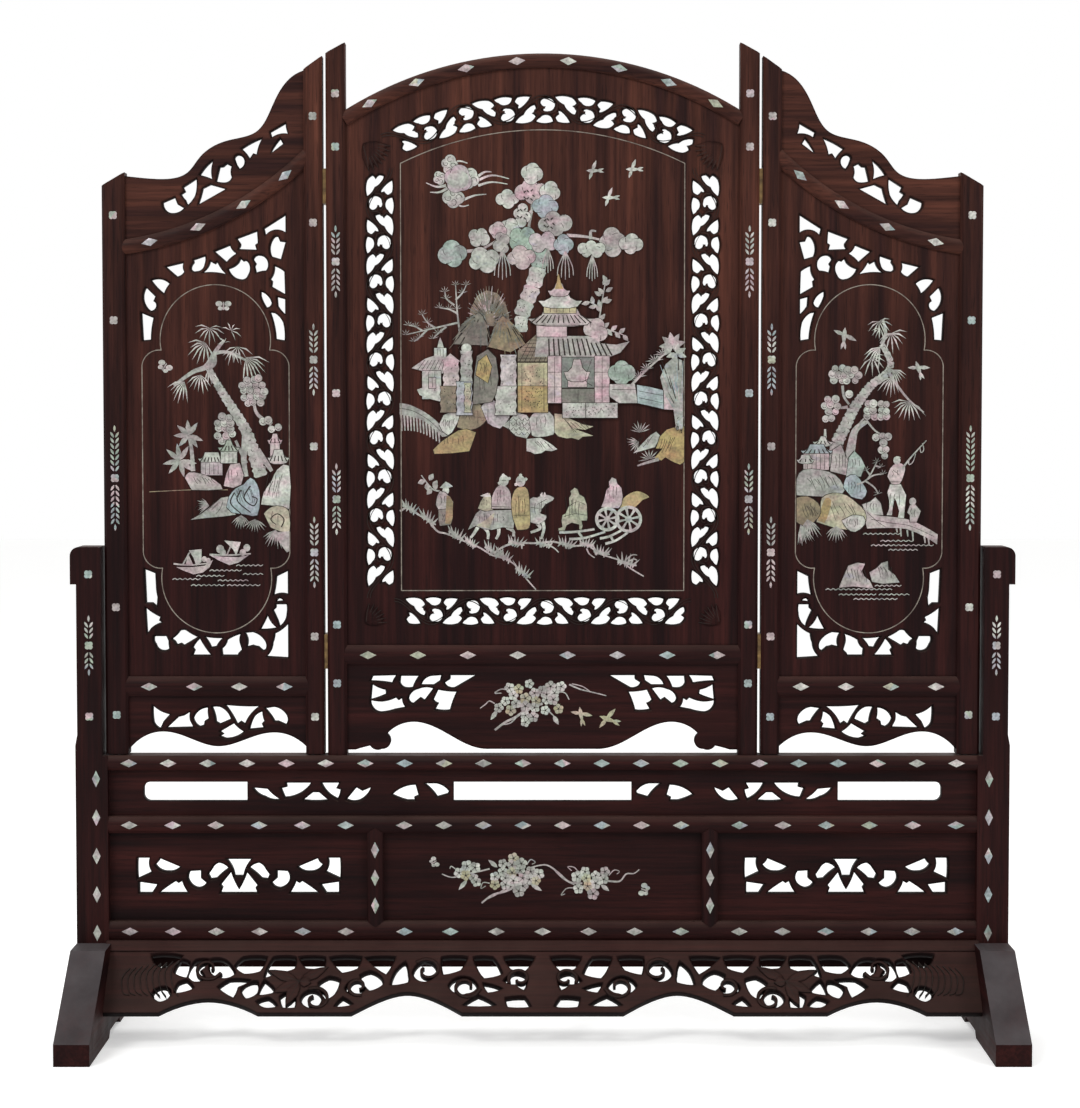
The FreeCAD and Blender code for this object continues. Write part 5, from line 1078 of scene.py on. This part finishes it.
apron = newPicture("apronPicture", "centre_apron")
for stem in (([(-36, 229), (-28, 235), (-20, 239), (-10, 246), (0, 249)], 1.6, 2.0),
             ([(-32, 233), (-24, 234.5), (-18, 241)], 0.9, 1.0),
             ([(20, 263.5), (28, 260), (38, 257.5), (48, 255)], 1.3, 0.6),
             ([(22, 264), (30, 262), (36, 258)], 0.8, 0.6)):
    stroke(apron, *stem, "grey")
strokes(apron, ([(-25, 259), (-31, 260), (-36, 257), (-31, 257)],
                [(-36, 249), (-40, 251), (-43, 248.5), (-47, 245.5)], [(12, 258), (17, 257), (20, 252)],
                [(5, 243), (9, 239), (12, 235)]), 1.0, 0.7)
for x, z, length, angle in ((-34, 244, 9, 235), (8, 240, 8, 300)):
    leaf(apron, x, z, length, 3.6, angle, "white")
apronBlossoms = ((-25, 261), (-18, 260), (-10, 264), (6, 262), (14, 262), (-22, 255), (-13, 253),
                 (-6, 257), (0, 259), (3, 256), (9, 257), (-5, 251), (3, 252), (8, 252), (-28, 251),
                 (-33, 246), (-24, 244), (-20, 249), (-13, 247), (-6, 246), (2, 244), (12, 245),
                 (-13, 240), (-7, 239), (-13, 235))
blossoms(apron, apronBlossoms, 4.0, ("white", "cream", "white", "grey", "white"))
swallow(apron, 29, 240, 15, -80, "cream")
swallow(apron, 50, 237, 17, -20, "cream")
finishPicture(apron, "centre_leaf")

# Carving on the border: dark lines along its stems, raised curls and blades, and leaves in the corners;
# the dark lines are painted shade standing for carved grooves

borderCarving = {"fieldHalf": 111.5, "fieldLow": 328.8, "apex": 683.75, "radius": 244.0, "band": 20.5,
                 "corner": 7.0, "pitch": 29.0, "swing": 0.86, "ridge": 1.5, "curl": 2.3, "sink": 4.0,
                 "proud": 0.6}


# The straight and arched runs of the border: the length of each, and a place along and across it
def borderRuns():
    half, low, band = borderCarving["fieldHalf"], borderCarving["fieldLow"], borderCarving["band"]
    radius = borderCarving["radius"]
    hubZ = borderCarving["apex"] - radius
    tall = hubZ + math.sqrt(radius ** 2 - half ** 2) - borderCarving["corner"] - low
    for side in (1, -1):
        yield tall, lambda s, t, side=side: (side * (half + band * t), low + tall * s)
    yield 2 * half, lambda s, t: (-half + 2 * half * s, low - band * (1 - t))
    lean = math.degrees(math.asin(half / radius))
    yield 2 * half, lambda s, t: around(0, hubZ, radius + band * t, 90 + lean * (1 - 2 * s))


def carveBorder(carving):
    curl = ((0.36, -0.36), (0.33, 0.14), (0.16, 0.30), (-0.03, 0.22), (-0.06, 0.0), (0.06, -0.10))
    blade = ((-0.10, -0.55), (-0.11, -0.10), (-0.20, 0.20), (-0.12, 0.52), (-0.22, 0.92))
    swing = borderCarving["swing"]
    for length, spot in borderRuns():
        waves = max(3, round(length / borderCarving["pitch"]))
        steps = waves * 8
        stem = [(s / steps, 0.5 + swing / 2 * math.cos(math.pi * s / 8)) for s in range(steps + 1)]
        # Dark lines beside the stem, painted shade standing for its grooves
        for shift in (-0.05, 0.05):
            engrave(carving, [spot(s, t + shift) for s, t in stem])
        for k in range(1, waves):
            way = 1 if k % 2 else -1
            for path, width in ((curl, borderCarving["curl"]), (blade, borderCarving["ridge"])):
                points = [spot((k + s) / waves, (1 + way * t) / 2) for s, t in path]
                stroke(carving, points, width, width * 0.6)
                engrave(carving, points[:-1])


# Narrow leaves that fan out from a corner, with a dark line along each as painted shade of its groove
def fanLeaf(carving, x, z, reach, low, high, grooves):
    for i in range(grooves):
        angle = low + (high - low) * i / (grooves - 1)
        leaf(carving, x, z, reach, reach * 0.24, angle)
        root, bend = around(x, z, 2.0, angle), around(x, z, reach * 0.6, angle + 2)
        engrave(carving, [root, bend, around(x, z, reach, angle)])


carving = newPicture("borderCarving", "centre_fretwork_panel", uprightCarving, borderCarving["sink"],
                     proud=borderCarving["proud"])
carveBorder(carving)
for side in (-1, 1):
    middle = 180 if side > 0 else 0
    fanLeaf(carving, side * 134, 668, 21, middle + side * 5, middle + side * 78, 8)
    fanLeaf(carving, side * 133, 309, 16, middle - side * 5, middle - side * 80, 7)
finishPicture(carving, "centre_leaf")

# The sloping apron: a raised strip, and scrolls, five-lobed leaves and feathered ends on both sides; their
# dark lines are painted shade standing for carved grooves
apronCarving = {"top": (-13.5, 70.0), "run": 46.0, "fall": 44.0, "stem": 2.6, "sink": 3.6, "proud": 0.9,
                "strip": (1.2, -9.0),
                "scrolls": ((250, 53, 11, 200), (168, 34, 11, 60), (137, 42, 8.5, 250), (86, 52, 11, 40),
                            (57, 42, 11, 190), (17, 47, 9, 330)),
                "leafRoot": (181, 45), "leafWidth": 9,
                "leafTips": ((205, 52), (200, 38), (160, 54), (190, 30), (172, 44)),
                "feathers": 9, "featherStart": (272, 58), "featherStep": (4.5, 0.6)}
slopeAngle = math.atan2(apronCarving["run"], apronCarving["fall"])
apronLean = (Matrix.Translation((0, apronCarving["top"][0] * mm, apronCarving["top"][1] * mm))
             @ Matrix.Rotation(-slopeAngle, 4, "X"))
scrolls = newPicture("apronScrolls", "front_apron", slopeCarving, apronCarving["sink"], apronLean,
                     proud=apronCarving["proud"])


# A place on the slope from its height above the floor
def downSlope(x, level):
    return x, (level - apronCarving["top"][1]) / math.cos(slopeAngle)


apronLeft, apronRight = (corner[0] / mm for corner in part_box("front_apron"))
stripHigh, stripLow = apronCarving["strip"]
layPlate(scrolls, [(apronLeft, stripLow), (apronRight, stripLow), (apronRight, stripHigh),
                   (apronLeft, stripHigh)])
for side in (-1, 1):
    for x, level, radius, start in apronCarving["scrolls"]:
        cx, cz = downSlope(side * x, level)
        coil = [around(0, 0, radius * (1 - 0.075 * i), start + 40 * i) for i in range(10)]
        coil = [(cx + side * a, cz + b) for a, b in coil]
        stroke(scrolls, coil, apronCarving["stem"], apronCarving["stem"] * 0.7)
        engrave(scrolls, coil)
    leafX, leafLevel = apronCarving["leafRoot"]
    x, z = downSlope(side * leafX, leafLevel)
    for tip, level in apronCarving["leafTips"]:
        tipX, tipZ = downSlope(side * tip, level)
        angle = math.degrees(math.atan2(tipZ - z, tipX - x))
        leaf(scrolls, x, z, math.hypot(tipX - x, tipZ - z), apronCarving["leafWidth"], angle)
        engrave(scrolls, [(x, z), (tipX, tipZ)])
    featherX, featherLevel = apronCarving["featherStart"]
    along, down = apronCarving["featherStep"]
    for i in range(apronCarving["feathers"]):
        x, z = downSlope(side * (featherX + along * i), featherLevel - down * i)
        engrave(scrolls, [(x, z), (x + side * 5, z - 9), (x + side * 3, z - 22),
                          (x - side * 2, z - 32 + i)])
finishPicture(scrolls, "stand")

# Floor, light and camera
studio = {"floor": 8.0, "floorColour": (0.93, 0.93, 0.92, 1), "floorRoughness": 0.9, "floorGlow": 0.37,
          "worldLight": 0.62, "white": (1, 1, 1, 1), "aim": Vector((0, 0, 0.38)),
          "lamps": [("keyLamp", (-1.3, -2.0, 2.2), 0.9, 34), ("fillLamp", (1.7, -2.0, 1.4), 0.9, 16),
                    ("topLamp", (0.0, 0.5, 2.7), 1.2, 20)]}


# One value where the camera, a reflection or glass meets it, and another for the light it gives
def shownOrLit(tree, shown, lit):
    rays = addNode(tree, "LightPath").outputs
    mirrored = mathValue(tree, "MAXIMUM", rays["Is Glossy Ray"], rays["Is Transmission Ray"])
    return spread(tree, mathValue(tree, "MAXIMUM", rays["Is Camera Ray"], mirrored), 0, 1, lit, shown)


floorMesh = bmesh.new()
bmesh.ops.create_grid(floorMesh, x_segments=1, y_segments=1, size=studio["floor"])
floorData = bpy.data.meshes.new("studioFloor")
floorMesh.to_mesh(floorData)
floorMesh.free()
studioFloor = bpy.data.objects.new("studioFloor", floorData)
bpy.context.collection.objects.link(studioFloor)
floorPaint = {"Base Color": studio["floorColour"], "Roughness": studio["floorRoughness"],
              "Emission Color": studio["white"]}
floorMaterial, floorTree, floorShader = newMaterial("floorPaint", floorPaint)
feed(floorTree, floorShader, {"Emission Strength": shownOrLit(floorTree, studio["floorGlow"], 0.0)})
floorData.materials.append(floorMaterial)

for lampName, place, size, power in studio["lamps"]:
    lamp = bpy.data.lights.new(lampName, "AREA")
    lamp.size = size
    lamp.energy = power
    lampObject = bpy.data.objects.new(lampName, lamp)
    lampObject.location = place
    lampObject.rotation_euler = (studio["aim"] - Vector(place)).to_track_quat("-Z", "Y").to_euler()
    bpy.context.collection.objects.link(lampObject)

world = bpy.data.worlds.new("studioWorld")
bpy.context.scene.world = world
world.use_nodes = True
worldTree = world.node_tree
feed(worldTree, worldTree.nodes["Background"],
     {"Color": studio["white"], "Strength": shownOrLit(worldTree, 1.0, studio["worldLight"])})

# The camera was fitted to the photograph: focal length and picture centre are in pixels
view = {"place": (0, -2.1235, 0.4717), "tilt": 87.0, "focal": 2827.4, "width": 1080, "height": 1108,
        "centre": (542.6, 555.6), "sensor": 36.0}
cameraData = bpy.data.cameras.new("photoCamera")
cameraData.sensor_fit = "VERTICAL"
cameraData.sensor_height = view["sensor"]
cameraData.lens = view["focal"] / view["height"] * view["sensor"]
cameraData.shift_x = (view["width"] / 2 - view["centre"][0]) / view["height"]
cameraData.shift_y = (view["centre"][1] - view["height"] / 2) / view["height"]
photoCamera = bpy.data.objects.new("photoCamera", cameraData)
photoCamera.location = view["place"]
photoCamera.rotation_euler = (math.radians(view["tilt"]), 0, 0)
bpy.context.collection.objects.link(photoCamera)
bpy.context.scene.camera = photoCamera
bpy.context.scene.view_settings.view_transform = "Standard"
print("studio and camera set")
